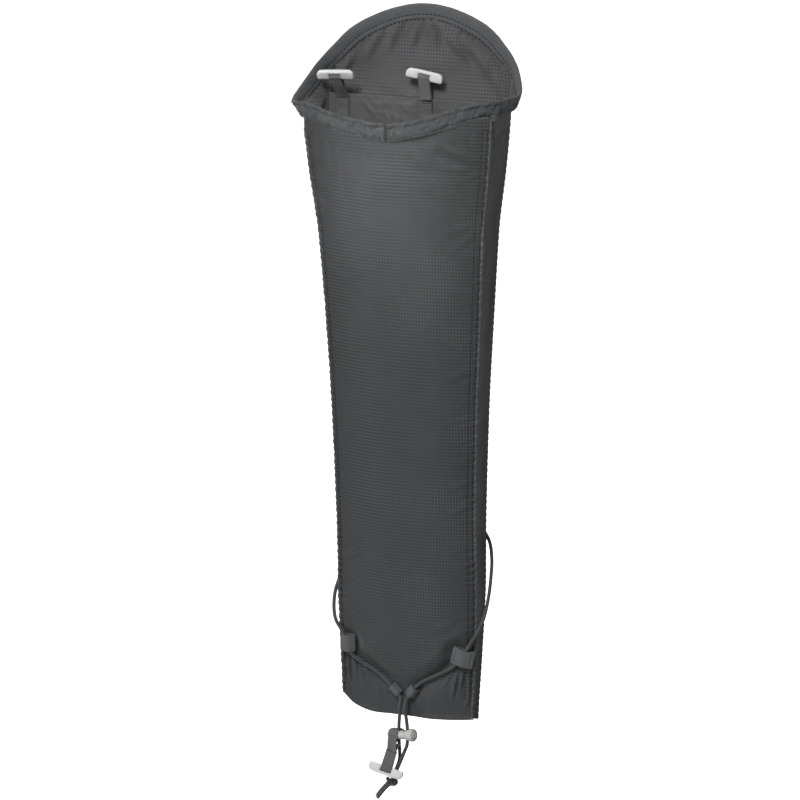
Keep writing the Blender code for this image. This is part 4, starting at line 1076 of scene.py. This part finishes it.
# ------------------------------------------------------------------ hood
cols, rows = 321, 71
P = np.zeros((rows, cols, 3))
for i in range(cols):
    p = (2 * i / (cols - 1) - 1) * 10.3
    q, s = TOP_ROW - abs(p), (1 if p >= 0 else -1)
    base = hood_base(q, s)
    free, sewn = rim_at(q if s > 0 else 2 * TOP_ROW - q)
    top = sewn.lerp(free, 0.35 - 0.17 * ease((q - 6.0) / 2.5))
    for j in range(rows):
        share = -0.16 + 1.17 * j / (rows - 1)
        at = base.lerp(top, max(share, 0.0))
        if share < 0:
            at.z += share * 0.078
        if q > 8:
            at.y += 0.003 * math.sin(math.pi * clamp(share)) * min(1.0, (q - 8) / 2)
        P[j, i] = at
UV = np.stack((P[..., 0] + np.sign(P[..., 0]) * np.maximum(0.0, -P[..., 1]), P[..., 2]), axis=-1)
middle = P[rows // 3]
arc = np.concatenate(([0.0], np.cumsum(np.linalg.norm(np.diff(middle, axis=0), axis=1))))
arc -= arc[cols // 2]
A = np.repeat(arc[None, :], rows, axis=0)
H = P[..., 2] - P[0:1, :, 2]
H = H - 0.0125
TALL = H[-1:, :]
tuck = np.clip((TALL - H) / 0.004, 0, 1) * np.clip(H / 0.003, 0, 1)
rnd = random.Random(81)
marks = [
    (0.0135, 0.064, 0.0330, 0.036, 0.0034, 0.0028), (0.0215, 0.062, 0.0400, 0.030, 0.0028, 0.0030),
    (0.0060, 0.064, 0.0140, 0.040, 0.0020, 0.0030), (0.0310, 0.056, 0.0460, 0.034, 0.0026, 0.0026),
    (-0.004, 0.064, -0.010, 0.036, 0.0013, 0.0034), (-0.020, 0.062, -0.030, 0.034, 0.0012, 0.0034),
    (-0.034, 0.056, -0.048, 0.028, 0.0013, 0.0032), (-0.056, 0.034, -0.072, 0.010, 0.0014, 0.0028),
    (-0.066, 0.024, -0.074, 0.004, 0.0012, 0.0024), (0.0420, 0.050, 0.0560, 0.020, 0.0020, 0.0032),
    (0.0500, 0.042, 0.0640, 0.010, 0.0018, 0.0030), (0.0600, 0.034, 0.0700, 0.004, 0.0016, 0.0028),
]
for k in range(6):
    a = 0.070 + 0.0072 * k + rnd.uniform(-0.0015, 0.0015)
    marks.append((a, 0.040 - 0.0040 * k, a + rnd.uniform(0.002, 0.006), -0.002, rnd.uniform(0.0007, 0.0013), rnd.uniform(0.0022, 0.0032)))
for k in range(6):
    a = -0.074 - 0.0064 * k + rnd.uniform(-0.001, 0.001)
    marks.append((a, 0.026, a - rnd.uniform(0.0, 0.003), -0.004, rnd.uniform(0.0007, 0.0013), rnd.uniform(0.0016, 0.0024)))
for _ in range(60):
    a = rnd.uniform(-0.115, 0.115)
    tall = float(np.interp(a, arc, TALL[0]))
    reach = rnd.uniform(0.006, 0.016)
    marks.append((a, tall, a + rnd.uniform(-0.4, 0.6) * reach, tall - reach, rnd.uniform(0.0002, 0.0006), rnd.uniform(0.0011, 0.0020)))
D = 1.35 * creases(A, H, marks)
D += 0.0020 * noise_field(A, H, 22, 20, 82) + 0.0007 * noise_field(A, H, 62, 50, 83)
D += 0.00030 * np.cos(2 * math.pi * A / 0.0050) * np.exp(-np.maximum(TALL - H, 0) / 0.006)
D *= tuck
hood = Cloth("hood_cloth", P, D, UV, (0, -1, 0), 0.0006)
hood.obj.data.materials.clear()
hood.obj.data.materials.append(HOOD)
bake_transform(hood.obj)
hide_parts("hood_panel_fold", "hood_panel_upper")


def row_share(run, row):
    """How far from the free edge a row of stitches runs: near both edges in front, near the sewn edge on the hood."""
    k = min(max(int(np.searchsorted(marks_run, run)) - 1, 0), len(places) - 2)
    at = places[k]
    q = abs(at) if at <= TOP_ROW else abs(2 * TOP_ROW - at)
    hooded = ease((q - 4.2) / 2.6)
    front_share, hood_share = ((0.20, 0.62), (0.80, 0.90))[row]
    return front_share + (hood_share - front_share) * hooded


low, high = 0.0, 2.0
for _ in range(30):
    mid = (low + high) / 2
    low, high = (mid, high) if rim(RIM_FREE, mid, 1).x < -BUTT_X else (low, mid)
BUTT = low
places = [-BUTT - 0.05 + (28 + 0.10) * i / 900 for i in range(901)]
marks_run = [0.0]
for a, b in zip(places, places[1:]):
    marks_run.append(marks_run[-1] + (rim_at(b)[0].lerp(rim_at(b)[1], 0.5) - rim_at(a)[0].lerp(rim_at(a)[1], 0.5)).length)
RIM_LENGTH = marks_run[-1]


def rim_frame(run):
    """Free edge, sewn edge and outward normal at a run along the rim in metres."""
    k = min(max(int(np.searchsorted(marks_run, run)) - 1, 0), len(places) - 2)
    t = clamp((run - marks_run[k]) / max(1e-9, marks_run[k + 1] - marks_run[k]))
    at = places[k] + (places[k + 1] - places[k]) * t
    free, sewn = rim_at(at)
    ahead = rim_at(at + 0.06)[0] - rim_at(at - 0.06)[0]
    n = ahead.cross(sewn - free).normalized()
    return free, sewn, n


centre = Vector((0.0, -0.020, 0.01))
RINGS = int(RIM_LENGTH / 0.0011)
SIDES = 30
f0, s0, n0 = rim_frame(RIM_LENGTH * 0.5)
FACE = 1 if n0.y < 0 else -1


def hooded(run):
    """0 along the front hem, 1 over the hood."""
    k = min(max(int(np.searchsorted(marks_run, run)) - 1, 0), len(places) - 2)
    q = abs(places[k]) if places[k] <= TOP_ROW else abs(2 * TOP_ROW - places[k])
    return ease((q - 4.2) / 2.6)


def rim_puff(run, share):
    """Half the band's thickness: full, pinched along its two rows of stitches."""
    beads = 0.5 + 0.5 * math.cos(2 * math.pi * run / 0.0034)
    full = 0.00135 + 0.00065 * (1 - 0.6 * hooded(run)) * soft(run * 190 + share * 2, share * 4, 9)
    for row in (0, 1):
        full -= (0.00055 + 0.00035 * beads) * math.exp(-(((share - row_share(run, row)) / 0.065) ** 2))
    return full


def rim_point(run, share, face, lift=0.0):
    """On the band at a share from its free edge to its sewn edge. face 1 is the side towards the front."""
    free, sewn, n = rim_frame(run)
    n = n * FACE
    across = 2 * share - 1
    thick = rim_puff(run, share) * max(0.0, 1 - abs(across) ** 5) ** 0.5
    rumple = 1 - 0.85 * hooded(run)
    wave = 0.0008 * soft(run * 28, 3.0, 1.0) + rumple * (
        0.0010 * soft(run * 130, 5.0 + 2 * share, 2.0) + 0.0016 * soft(run * 300, 4.0 + 4 * share, 5.0))
    p = free.lerp(sewn, share) + n * (wave + face * (thick + lift))
    p.z += (0.4 + 0.6 * rumple) * 0.0007 * soft(run * 35, 8.0, 4.0) + rumple * 0.0009 * soft(run * 140, 2.0 + share, 6.0)
    step = 0.0
    if run < 0.008:
        step = 0.0013 * (1 - ease(run / 0.008))
        p += n * step
        p.z -= 0.7 * step
    if run > RIM_LENGTH - 0.008:
        step = 0.0010 * ease((run - RIM_LENGTH + 0.008) / 0.008)
        p -= n * step
    return p, n * face


rings = []
uvs = []
shares = [0.5 - 0.5 * math.cos(math.pi * i / (SIDES // 2)) for i in range(SIDES // 2 + 1)]
for j in range(RINGS + 1):
    run = RIM_LENGTH * j / RINGS
    ring = [rim_point(run, s, 1)[0] for s in shares]
    ring += [rim_point(run, s, -1)[0] for s in reversed(shares[1:-1])]
    rings.append(ring)
around = shares + [2 - s for s in reversed(shares[1:-1])]
band = closed_rings("rim_band", rings, lambda j, i: (around[i % len(around)] * 0.0125 if i < len(around) else 0.025,
                                                     RIM_LENGTH * j / RINGS))
band.data.materials.clear()
band.data.materials.append(BAND)
band.data.materials.append(HEM_SHADED)
# Faces along the front hem take the darker copy of the band's colour, as painted shade.
for poly in band.data.polygons:
    ring = min(poly.vertices) // len(around)
    poly.material_index = int(hooded(RIM_LENGTH * ring / RINGS) < 0.02)
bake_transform(band)
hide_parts("front_hem_left", "front_hem_right", "hood_rim_band", "hood_rim_stiffener")

for number, name in ((0, "outer"), (1, "inner")):
    for face, word in ((1, "front"), (-1, "back")):
        spans, bm = [[], []], bmesh.new()
        for k in range(int(RIM_LENGTH / 0.0008)):
            run = k * 0.0008
            at = places[min(max(int(np.searchsorted(marks_run, run)) - 1, 0), len(places) - 1)]
            if 4.5 < at < 5.9:
                continue
            spans[at > 5].append(rim_point(run, row_share(run, number), face, 0.00014))
        for span in spans:
            part = stitches("part_of_row", [p for p, n in span], [n for p, n in span], 0.0028, 0.0007, 0.00038)
            bm.from_mesh(part.data)
            bpy.data.objects.remove(part, do_unlink=True)
        data = bpy.data.meshes.new(f"rim_stitches_{name}_{word}")
        bm.to_mesh(data)
        bm.free()
        row = link(data.name, data)
        row.data.materials.append(THREAD)
        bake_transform(row)

across_joint = [rim_point(0.0004, 0.04 + 0.92 * k / 60, 1, 0.00020) for k in range(61)]
joint = stitches("rim_joint_stitches", [p for p, n in across_joint], [n for p, n in across_joint], 0.0012, 0.0002, 0.00042)
joint.data.materials.append(THREAD)
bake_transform(joint)

# ------------------------------------------------------------------ seams down the sleeve
for side, name in ((-1, "left"), (1, "right")):
    high = -0.0092 + LIP_SKEW * 0.078 * side
    low_z = foot_z(side * 0.0590)
    pts = []
    for i in range(620):
        z = high + (low_z - high) * i / 619
        pts.append(Vector((side * (half_width(z, side) + 0.0002), -depth(z) - 0.0002, z)))
    rings, run = [], 0.0
    tans = tangents(pts)
    for j, (p, t) in enumerate(zip(pts, tans)):
        if j:
            run += (p - pts[j - 1]).length
        w = (Vector((1, 0, 0)) - t * t.x).normalized()
        n = t.cross(w)
        puff = 0.95 + 0.24 * math.cos(2 * math.pi * run / 0.0062 + 1.5 * soft(run * 60, side, 9)) + 0.30 * soft(run * 90, side, 3)
        rings.append([p + w * (0.0012 * puff * math.cos(a)) + n * (0.0011 * puff * math.sin(a))
                      for a in (2 * math.pi * i / 12 for i in range(12))])
    ridge_obj = closed_rings(name + "_seam_ridge", rings, lambda j, i: (i / 12 * 0.007, j * 0.00088))
    dress(ridge_obj, DARKTAPE, "sleeve", "webbing", name + "_front_seam_binding")

def front_row(name, side, inset, start=0.03, stop=0.985):
    pts, outs = [], []
    for k in range(620):
        v = start + (stop - start) * k / 619
        z = front.p[min(370, int(v * 370)), 65, 2]
        hw = half_width(z, side)
        u = 0.5 + 0.5 * ungathered(side * (hw - inset) / (hw - 0.0006))
        p, n = front.at(u, v, CLOTH / 2 + 0.00008)
        pts.append(p)
        outs.append(n)
    row = stitches(name, pts, outs, 0.0022, 0.0012, 0.00032)
    return dress(row, THREAD, "sleeve", "webbing")


front_row("right_seam_stitches_outer", 1, 0.0024)
front_row("right_seam_stitches_inner", 1, 0.0064)
front_row("left_seam_stitches", -1, 0.0026)

# ------------------------------------------------------------------ webbing
WEB_W, WEB_T = 0.0095, 0.0009


def box_stitch(name, at, right, up, out, w, h, body, bars=1):
    """Stitches in a box with a cross, on a face."""
    obs = []
    corners = [(-w, -h), (w, -h), (w, h), (-w, h), (-w, -h)]
    lines = [(corners[i], corners[i + 1]) for i in range(4)]
    if bars:
        lines += [((-w, -h), (w, h)), ((-w, h), (w, -h))]
    bm = bmesh.new()
    for a, b in lines:
        n = max(2, int(math.hypot(b[0] - a[0], b[1] - a[1]) / 0.0003))
        pts = [at + right * (a[0] + (b[0] - a[0]) * k / n) + up * (a[1] + (b[1] - a[1]) * k / n) for k in range(n + 1)]
        row = stitches("part_of_" + name, pts, [out] * len(pts), 0.0012, 0.0005, 0.00022)
        bm.from_mesh(row.data)
        bpy.data.objects.remove(row, do_unlink=True)
    data = bpy.data.meshes.new(name)
    bm.to_mesh(data)
    bm.free()
    return dress(link(name, data), THREAD, body, "webbing")


BAR_L, BAR_T, BAR_TOP, BAR_FOOT = 0.0310, 0.0038, 0.0058, 0.0019
RIB_R, NOTCH_HALF, NOTCH_TOP = 0.0017, 0.0052, 0.0032


def toggle_bar(name, axis, up, at, body, cad):
    """A flat bar with rounded edges, notched for the webbing, and a rib across the notch."""
    up = (up - axis * up.dot(axis)).normalized()
    out = axis.cross(up)
    half, right = BAR_L / 2, []
    for i in range(7):
        a = math.radians(-90 + 90 * i / 6)
        right.append((half - 0.0015 + 0.0015 * math.cos(a), -BAR_FOOT + 0.0015 + 0.0015 * math.sin(a)))
    for i in range(13):
        a = math.radians(90 * i / 12)
        right.append((half - 0.0040 + 0.0040 * math.cos(a), BAR_TOP - 0.0042 + 0.0040 * math.sin(a)))
    right.append((0.0070, BAR_TOP))
    left = [(-x, y) for x, y in reversed(right)]
    notch = [(-NOTCH_HALF, -BAR_FOOT), (-NOTCH_HALF, NOTCH_TOP - 0.0010), (-NOTCH_HALF + 0.0003, NOTCH_TOP - 0.0003),
             (-NOTCH_HALF + 0.0010, NOTCH_TOP), (NOTCH_HALF - 0.0010, NOTCH_TOP),
             (NOTCH_HALF - 0.0003, NOTCH_TOP - 0.0003), (NOTCH_HALF, NOTCH_TOP - 0.0010), (NOTCH_HALF, -BAR_FOOT)]
    ring = right + left + notch
    obj = closed_rings(name, [[at + axis * x + up * y + out * d for x, y in ring] for d in (-BAR_T / 2, BAR_T / 2)])
    bevel = obj.modifiers.new("edges", "BEVEL")
    bevel.width = 0.0009
    bevel.segments = 4
    bevel.limit_method = "ANGLE"
    bevel.angle_limit = math.radians(50)
    apply_modifiers(obj)
    reach = NOTCH_HALF + 0.0008
    rib = turned(name + "_rib", [(0.0, reach), (RIB_R, reach), (RIB_R, -reach), (0.0, -reach)], axis, at, 32)
    join = obj.modifiers.new("rib", "BOOLEAN")
    join.object, join.operation, join.solver = rib, "UNION", "EXACT"
    apply_modifiers(obj)
    bpy.data.objects.remove(rib, do_unlink=True)
    obj.data.shade_smooth()
    obj.data.set_sharp_from_angle(angle=math.radians(38))
    return dress(obj, WHITE, body, "toggle_plastic", cad)


def loop_path(bar, side_way, up, length, radius, leg):
    """Round the bar and down both legs to where they are sewn."""
    pts = []
    for k in range(7):
        t = k / 6
        pts.append((leg + (radius * 0.79 - leg) * ease(t) ** 1.2, -length + (length - radius * 0.70) * t))
    for k in range(1, 18):
        a = math.radians(-38 + (180 + 76) * k / 18)
        pts.append((radius * math.cos(a), radius * math.sin(a)))
    for k in range(7):
        t = 1 - k / 6
        pts.append((-(leg + (radius * 0.79 - leg) * ease(t) ** 1.2), -length + (length - radius * 0.70) * t))
    return resample([bar + side_way * x + up * y for x, y in pts], 0.0006)


TOGGLES = {
    "left": (Vector((-0.0636, -0.0027, -0.0028)), Vector((-0.0664, -0.0125, 0.0162)), 3.8),
    "right": (Vector((0.0078, -0.0027, -0.0006)), Vector((0.0062, -0.0030, 0.0178)), -9.0),
}
for word, (sewn, bar, tilt) in TOGGLES.items():
    axis = Vector((math.cos(math.radians(tilt)), 0, math.sin(math.radians(tilt))))
    up = (bar - sewn).normalized()
    side_way = up.cross(axis).normalized()
    length = (bar - sewn).length
    pts = loop_path(bar, side_way, up, length - 0.0002, 0.0020 + WEB_T / 2, 0.00050)
    loop = webbing(word + "_loop_webbing", pts, axis, WEB_W, WEB_T)
    dress(loop, WEB, word + "_loop", "webbing", word + "_toggle_loop")
    toggle_bar(word + "_bar_moulding", axis, up, bar, word + "_bar", word + "_toggle_bar")
    foot_at = Vector((sewn.x, -0.0024, -0.0300))
    path = [foot_at, Vector((sewn.x, -0.0025, -0.020)), Vector((sewn.x, -0.0026, -0.010)), Vector((sewn.x, -0.0028, -0.0022))]
    strap = webbing(word + "_strap_webbing", resample(path, 0.0008), Vector((1, 0, 0)), WEB_W, WEB_T)
    dress(strap, WEB, "sleeve", "webbing", word + "_toggle_strap")
    box_stitch(word + "_strap_tack", Vector((sewn.x, -0.0032, -0.0084)), Vector((1, 0, 0)), Vector((0, 0, 1)),
               Vector((0, -1, 0)), 0.0038, 0.0030, "sleeve")
    bar_pts = [Vector((sewn.x - 0.0045 + 0.0003 * k, -0.00335, -0.0032)) for k in range(31)]
    dress(stitches(word + "_strap_bar_tack", bar_pts, [Vector((0, -1, 0))] * 31, 0.0010, 0.0003, 0.0003), THREAD,
          "sleeve", "webbing")

# keepers: webbing folded over the drawcord, its two ends sewn flat
for name, (at, slope, across, along) in KEEPERS.items():
    a = math.radians(slope)
    tunnel = Vector((math.cos(a), 0, -math.sin(a)))
    out = Vector((0, -1, 0))
    wide = out.cross(tunnel).normalized()
    half, at = across / 2, Vector(at)
    pts = []
    front_line = [(-half, -0.0010), (-half * 0.86, 0.0000), (-half * 0.5, 0.0012), (-0.0019, 0.0021), (0.0, 0.0024),
                  (0.0019, 0.0021), (half * 0.5, 0.0012), (half * 0.86, 0.0000), (half, -0.0010)]
    if half < 0.005:
        front_line = [(-half, -0.0012), (-0.0026, 0.0008), (-0.0016, 0.0020), (0.0, 0.0024), (0.0016, 0.0020),
                      (0.0026, 0.0008), (half, -0.0012)]
    back_line = [(half - 0.0004, -0.0026), (half * 0.5, -0.0029), (0.0, -0.0030), (-half * 0.5, -0.0029), (-half + 0.0004, -0.0026)]
    shape = [at + wide * x + out * y for x, y in front_line + back_line]
    obj = webbing(name + "_webbing", resample(shape, 0.0005), tunnel, along, WEB_T)
    dress(obj, KEEP, "sleeve", "webbing", name)
    for s in (-1, 1):
        inset = 0.0011 if half < 0.005 else 0.0024
        pts = [at + wide * (s * (half - inset)) + tunnel * (along * (k / 30 - 0.5) * 0.86) + out * (0.0009 if half >= 0.005 else 0.0009) for k in range(31)]
        dress(stitches(f"{name}_stitches_{'a' if s < 0 else 'b'}", pts, [out] * 31, 0.0014, 0.0006, 0.00022), THREAD,
              "sleeve", "webbing")

at = Vector((0.0, 0.0062, -0.3430))
shape = [(-0.0060, -0.0020), (-0.0040, -0.0008), (-0.0022, 0.0016), (0.0, 0.0026), (0.0022, 0.0016), (0.0040, -0.0008),
         (0.0060, -0.0020), (0.0054, -0.0029), (0.0, -0.0029), (-0.0054, -0.0029)]
pts = resample([at + Vector((0, y, x)) for x, y in shape], 0.0006)
dress(webbing("back_keeper_webbing", pts, Vector((1, 0, 0)), WEB_W, WEB_T), KEEP, "sleeve", "webbing", "back_keeper")

# ------------------------------------------------------------------ cord lock
def lock_tube(name, profile, steps=56):
    return turned(name, profile, LOCK_AXIS, LOCK_AT, steps)


def slot_cutter(name, hole, radius, above, below):
    ends_at = sorted((hole[0], hole[0] + hole[1]))
    level = Vector((LOCK_AXIS.x, LOCK_AXIS.y, 0)).normalized()
    side_way = Vector((0, 0, 1)).cross(level)
    outline = [(ends_at[0] + radius * math.cos(math.pi / 2 + math.pi * i / 15), radius * math.sin(math.pi / 2 + math.pi * i / 15)) for i in range(16)]
    outline += [(ends_at[1] + radius * math.cos(-math.pi / 2 + math.pi * i / 15), radius * math.sin(-math.pi / 2 + math.pi * i / 15)) for i in range(16)]
    rings = [[LOCK_AT + level * x + side_way * y + Vector((0, 0, h)) for x, y in outline] for h in (-below, above)]
    return closed_rings(name, rings, smooth=False)


LEFT_HOLE, RIGHT_HOLE, HOLE_R = (-0.0044, 0.0018), (0.0050, -0.0032), 0.00205
a0, a1, b0, b1 = -0.0140, 0.0120, -0.0118, 0.0040
R, NECK = 0.0051, 0.0042
body_profile = [(0.0, a1), (R - 0.0006, a1), (R - 0.0001, a1 - 0.0002), (R + 0.0003, a1 - 0.0006), (R + 0.0005, a1 - 0.0012),
                (R + 0.0004, a1 - 0.0026), (R + 0.0001, b1 + 0.0022), (R - 0.0003, b1 + 0.0006), (NECK, b1), (NECK, b0), (R - 0.0005, b0 - 0.0003),
                (R - 0.0003, b0 - 0.0006), (R - 0.0003, a0 + 0.0009), (R - 0.0007, a0 + 0.0003), (R - 0.0014, a0), (0.0, a0)]
lock_body = lock_tube("lock_body_moulding", body_profile)
bore = lock_tube("lock_bore", [(0.0, a1 + 0.003), (0.0032, a1 + 0.003), (0.0032, a0 + 0.0012), (0.0, a0 + 0.0012)], 48)
boolean_cut(lock_body, bore)
for name, hole in (("cut_left", LEFT_HOLE), ("cut_right", RIGHT_HOLE)):
    boolean_cut(lock_body, slot_cutter(name, hole, HOLE_R, 0.012, 0.012))
lock_body.data.shade_smooth()
lock_body.data.set_sharp_from_angle(angle=math.radians(35))
dress(lock_body, CLEAR, "cord_lock", "lock_plastic", "cord_lock_body")

p1, PR = a1 + 0.0007, 0.0029
plunger = lock_tube("plunger_moulding", [
    (0.0, p1 - 0.0014), (0.0005, p1 - 0.0014), (0.0006, p1 - 0.0002), (0.0008, p1), (0.0015, p1), (0.0017, p1 - 0.0003),
    (0.0019, p1), (PR - 0.0007, p1), (PR - 0.0002, p1 - 0.0002),
    (PR, p1 - 0.0007), (PR, -0.0072), (PR - 0.0003, -0.0075), (0.0, -0.0075)], 48)
low, high = LEFT_HOLE[0] - HOLE_R - 0.0004, RIGHT_HOLE[0] + HOLE_R + 0.0020 + 0.0003
across = Vector((0, 0, 1)).cross(LOCK_AXIS).normalized()
over = LOCK_AXIS.cross(across)
rings = []
for h in (low, high):
    rings.append([LOCK_AT + LOCK_AXIS * h + across * (0.00195 * x) + over * (0.008 * y) for x, y in ((-1, -1), (1, -1), (1, 1), (-1, 1))])
boolean_cut(plunger, closed_rings("plunger_slot", rings, smooth=False))
plunger.data.shade_smooth()
plunger.data.set_sharp_from_angle(angle=math.radians(35))
dress(plunger, CLEAR, "plunger", "lock_plastic", "cord_lock_plunger")
lock_spring = bpy.data.objects.get("cord_lock_spring")

# ------------------------------------------------------------------ pull tab, its loop and its toggle
SEW, PULL = Vector((-0.0112, -0.0360, -0.5638)), Vector((-0.0155, -0.0375, -0.5803))
web_at = LOCK_AT + LOCK_AXIS * -0.0069
up = (web_at - SEW).normalized()
tab_axis = (LOCK_AXIS - up * LOCK_AXIS.dot(up)).normalized()
tab_out = tab_axis.cross(up).normalized()
wrap_r = NECK + 0.0004 + WEB_T / 2
length = (web_at - SEW).length
shape = []
for k in range(7):
    t = k / 6
    shape.append((0.00052 + (wrap_r * 0.79 - 0.00052) * ease(t), -length - 0.0006 + (length + 0.0006 - wrap_r * 0.62) * t))
for k in range(1, 18):
    a = math.radians(-38 + 256 * k / 18)
    shape.append((wrap_r * math.cos(a), wrap_r * math.sin(a)))
for k in range(7):
    t = 1 - k / 6
    shape.append((-(0.00052 + (wrap_r * 0.79 - 0.00052) * ease(t)), -length - 0.0006 + (length + 0.0006 - wrap_r * 0.62) * t))
tab = webbing("pull_tab_webbing", resample([web_at + tab_out * x + up * y for x, y in shape], 0.0006), LOCK_AXIS, WEB_W, WEB_T)
boolean_cut(tab, slot_cutter("tab_slit", LEFT_HOLE, HOLE_R, 0.012, 0.020))
dress(tab, WEB, "cord_lock", "webbing", "pull_tab_wrap")

tilt = math.radians(-13.5)
bar_axis = Vector((math.cos(tilt), 0, math.sin(tilt)))
hang = PULL - SEW
loop_up = hang.normalized()
loop_out = loop_up.cross(bar_axis).normalized()
pts = loop_path(PULL, loop_out, loop_up, hang.length + 0.0004, 0.0020 + WEB_T / 2, 0.00050)
pull_loop = webbing("pull_loop_webbing", pts, bar_axis, WEB_W, WEB_T)
dress(pull_loop, WEB, "pull_loop", "webbing", "pull_tab_loop")
toggle_bar("pull_bar_moulding", bar_axis, loop_up, PULL, "pull_bar", "pull_toggle_bar")
tack_pts = [SEW + Vector((0, -0.00115, 0.0006)) + bar_axis * (0.0042 * (k / 15 - 1)) for k in range(31)]
dress(stitches("pull_tack", tack_pts, [Vector((0, -1, 0))] * 31, 0.0010, 0.0003, 0.0003), THREAD, "cord_lock", "webbing")

steel, steel_tree, steel_shader = new_material("spring_mat")
steel_noise = steel_tree.nodes.new("ShaderNodeTexNoise")
steel_noise.inputs["Scale"].default_value = 400.0
steel_tree.links.new(mix_colour(steel_tree, steel_noise.outputs[0], (0.55, 0.55, 0.54, 1), (0.68, 0.68, 0.67, 1)), steel_shader.inputs["Base Color"])
steel_shader.inputs["Metallic"].default_value = 1.0
steel_shader.inputs["Roughness"].default_value = 0.28
lock_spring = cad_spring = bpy.data.objects["cord_lock_spring"]
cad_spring.data.materials.clear()
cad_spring.data.materials.append(steel)
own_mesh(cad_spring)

# ------------------------------------------------------------------ flat sizes of the cloth pieces, worked out but not used
for piece, share in ((front, 1.0), (left_gusset, 1.0), (right_gusset, 1.0), (back, 1.0), (floor_cloth, 1.0), (hanger, 1.0), (hood, 1.0)):
    w, l = flat_size(piece.p)

# ------------------------------------------------------------------ stage, light, world
bpy.context.scene.view_settings.view_transform = "Standard"
bpy.context.scene.view_settings.look = "None"
world = bpy.data.worlds.new("world")
bpy.context.scene.world = world
world.use_nodes = True
world.node_tree.nodes["Background"].inputs[0].default_value = (1, 1, 1, 1)
world.node_tree.nodes["Background"].inputs[1].default_value = 0.22

ground, ground_tree, ground_shader = new_material("ground_mat")
ground_shader.inputs["Base Color"].default_value = (0.9, 0.9, 0.9, 1)
ground_shader.inputs["Emission Color"].default_value = (1, 1, 1, 1)
ground_shader.inputs["Emission Strength"].default_value = 1.0
data = bpy.data.meshes.new("ground")
data.from_pydata([(x, y, z) for z in (-1.1, 14) for y in (-14, 14) for x in (-14, 14)], [],
                 [(0, 1, 3, 2), (4, 6, 7, 5), (0, 2, 6, 4), (1, 5, 7, 3), (0, 4, 5, 1), (2, 3, 7, 6)])
ground_obj = link("studio", data)
data.materials.append(ground)
ground_obj.visible_diffuse = ground_obj.visible_glossy = ground_obj.visible_shadow = ground_obj.visible_transmission = False


def area_light(name, at, towards, size, power, spread=180):
    lamp = bpy.data.lights.new(name, "AREA")
    lamp.shape = "DISK"
    lamp.size = size
    lamp.energy = power
    lamp.spread = math.radians(spread)
    obj = bpy.data.objects.new(name, lamp)
    collection.objects.link(obj)
    obj.location = at
    obj.rotation_euler = (Vector(towards) - Vector(at)).to_track_quat("-Z", "Y").to_euler()


area_light("key", (-0.28, -2.35, 2.45), (-0.01, -0.05, -0.20), 0.9, 61)
area_light("fill", (-1.2, -1.6, -0.5), (0, 0, -0.40), 1.0, 8)
area_light("pool", (-0.03, -0.85, 0.55), (-0.014, -0.05, -0.058), 0.12, 0.040, 11)
area_light("back", (-0.60, 2.80, 1.00), (0, 0, -0.28), 1.2, 26)
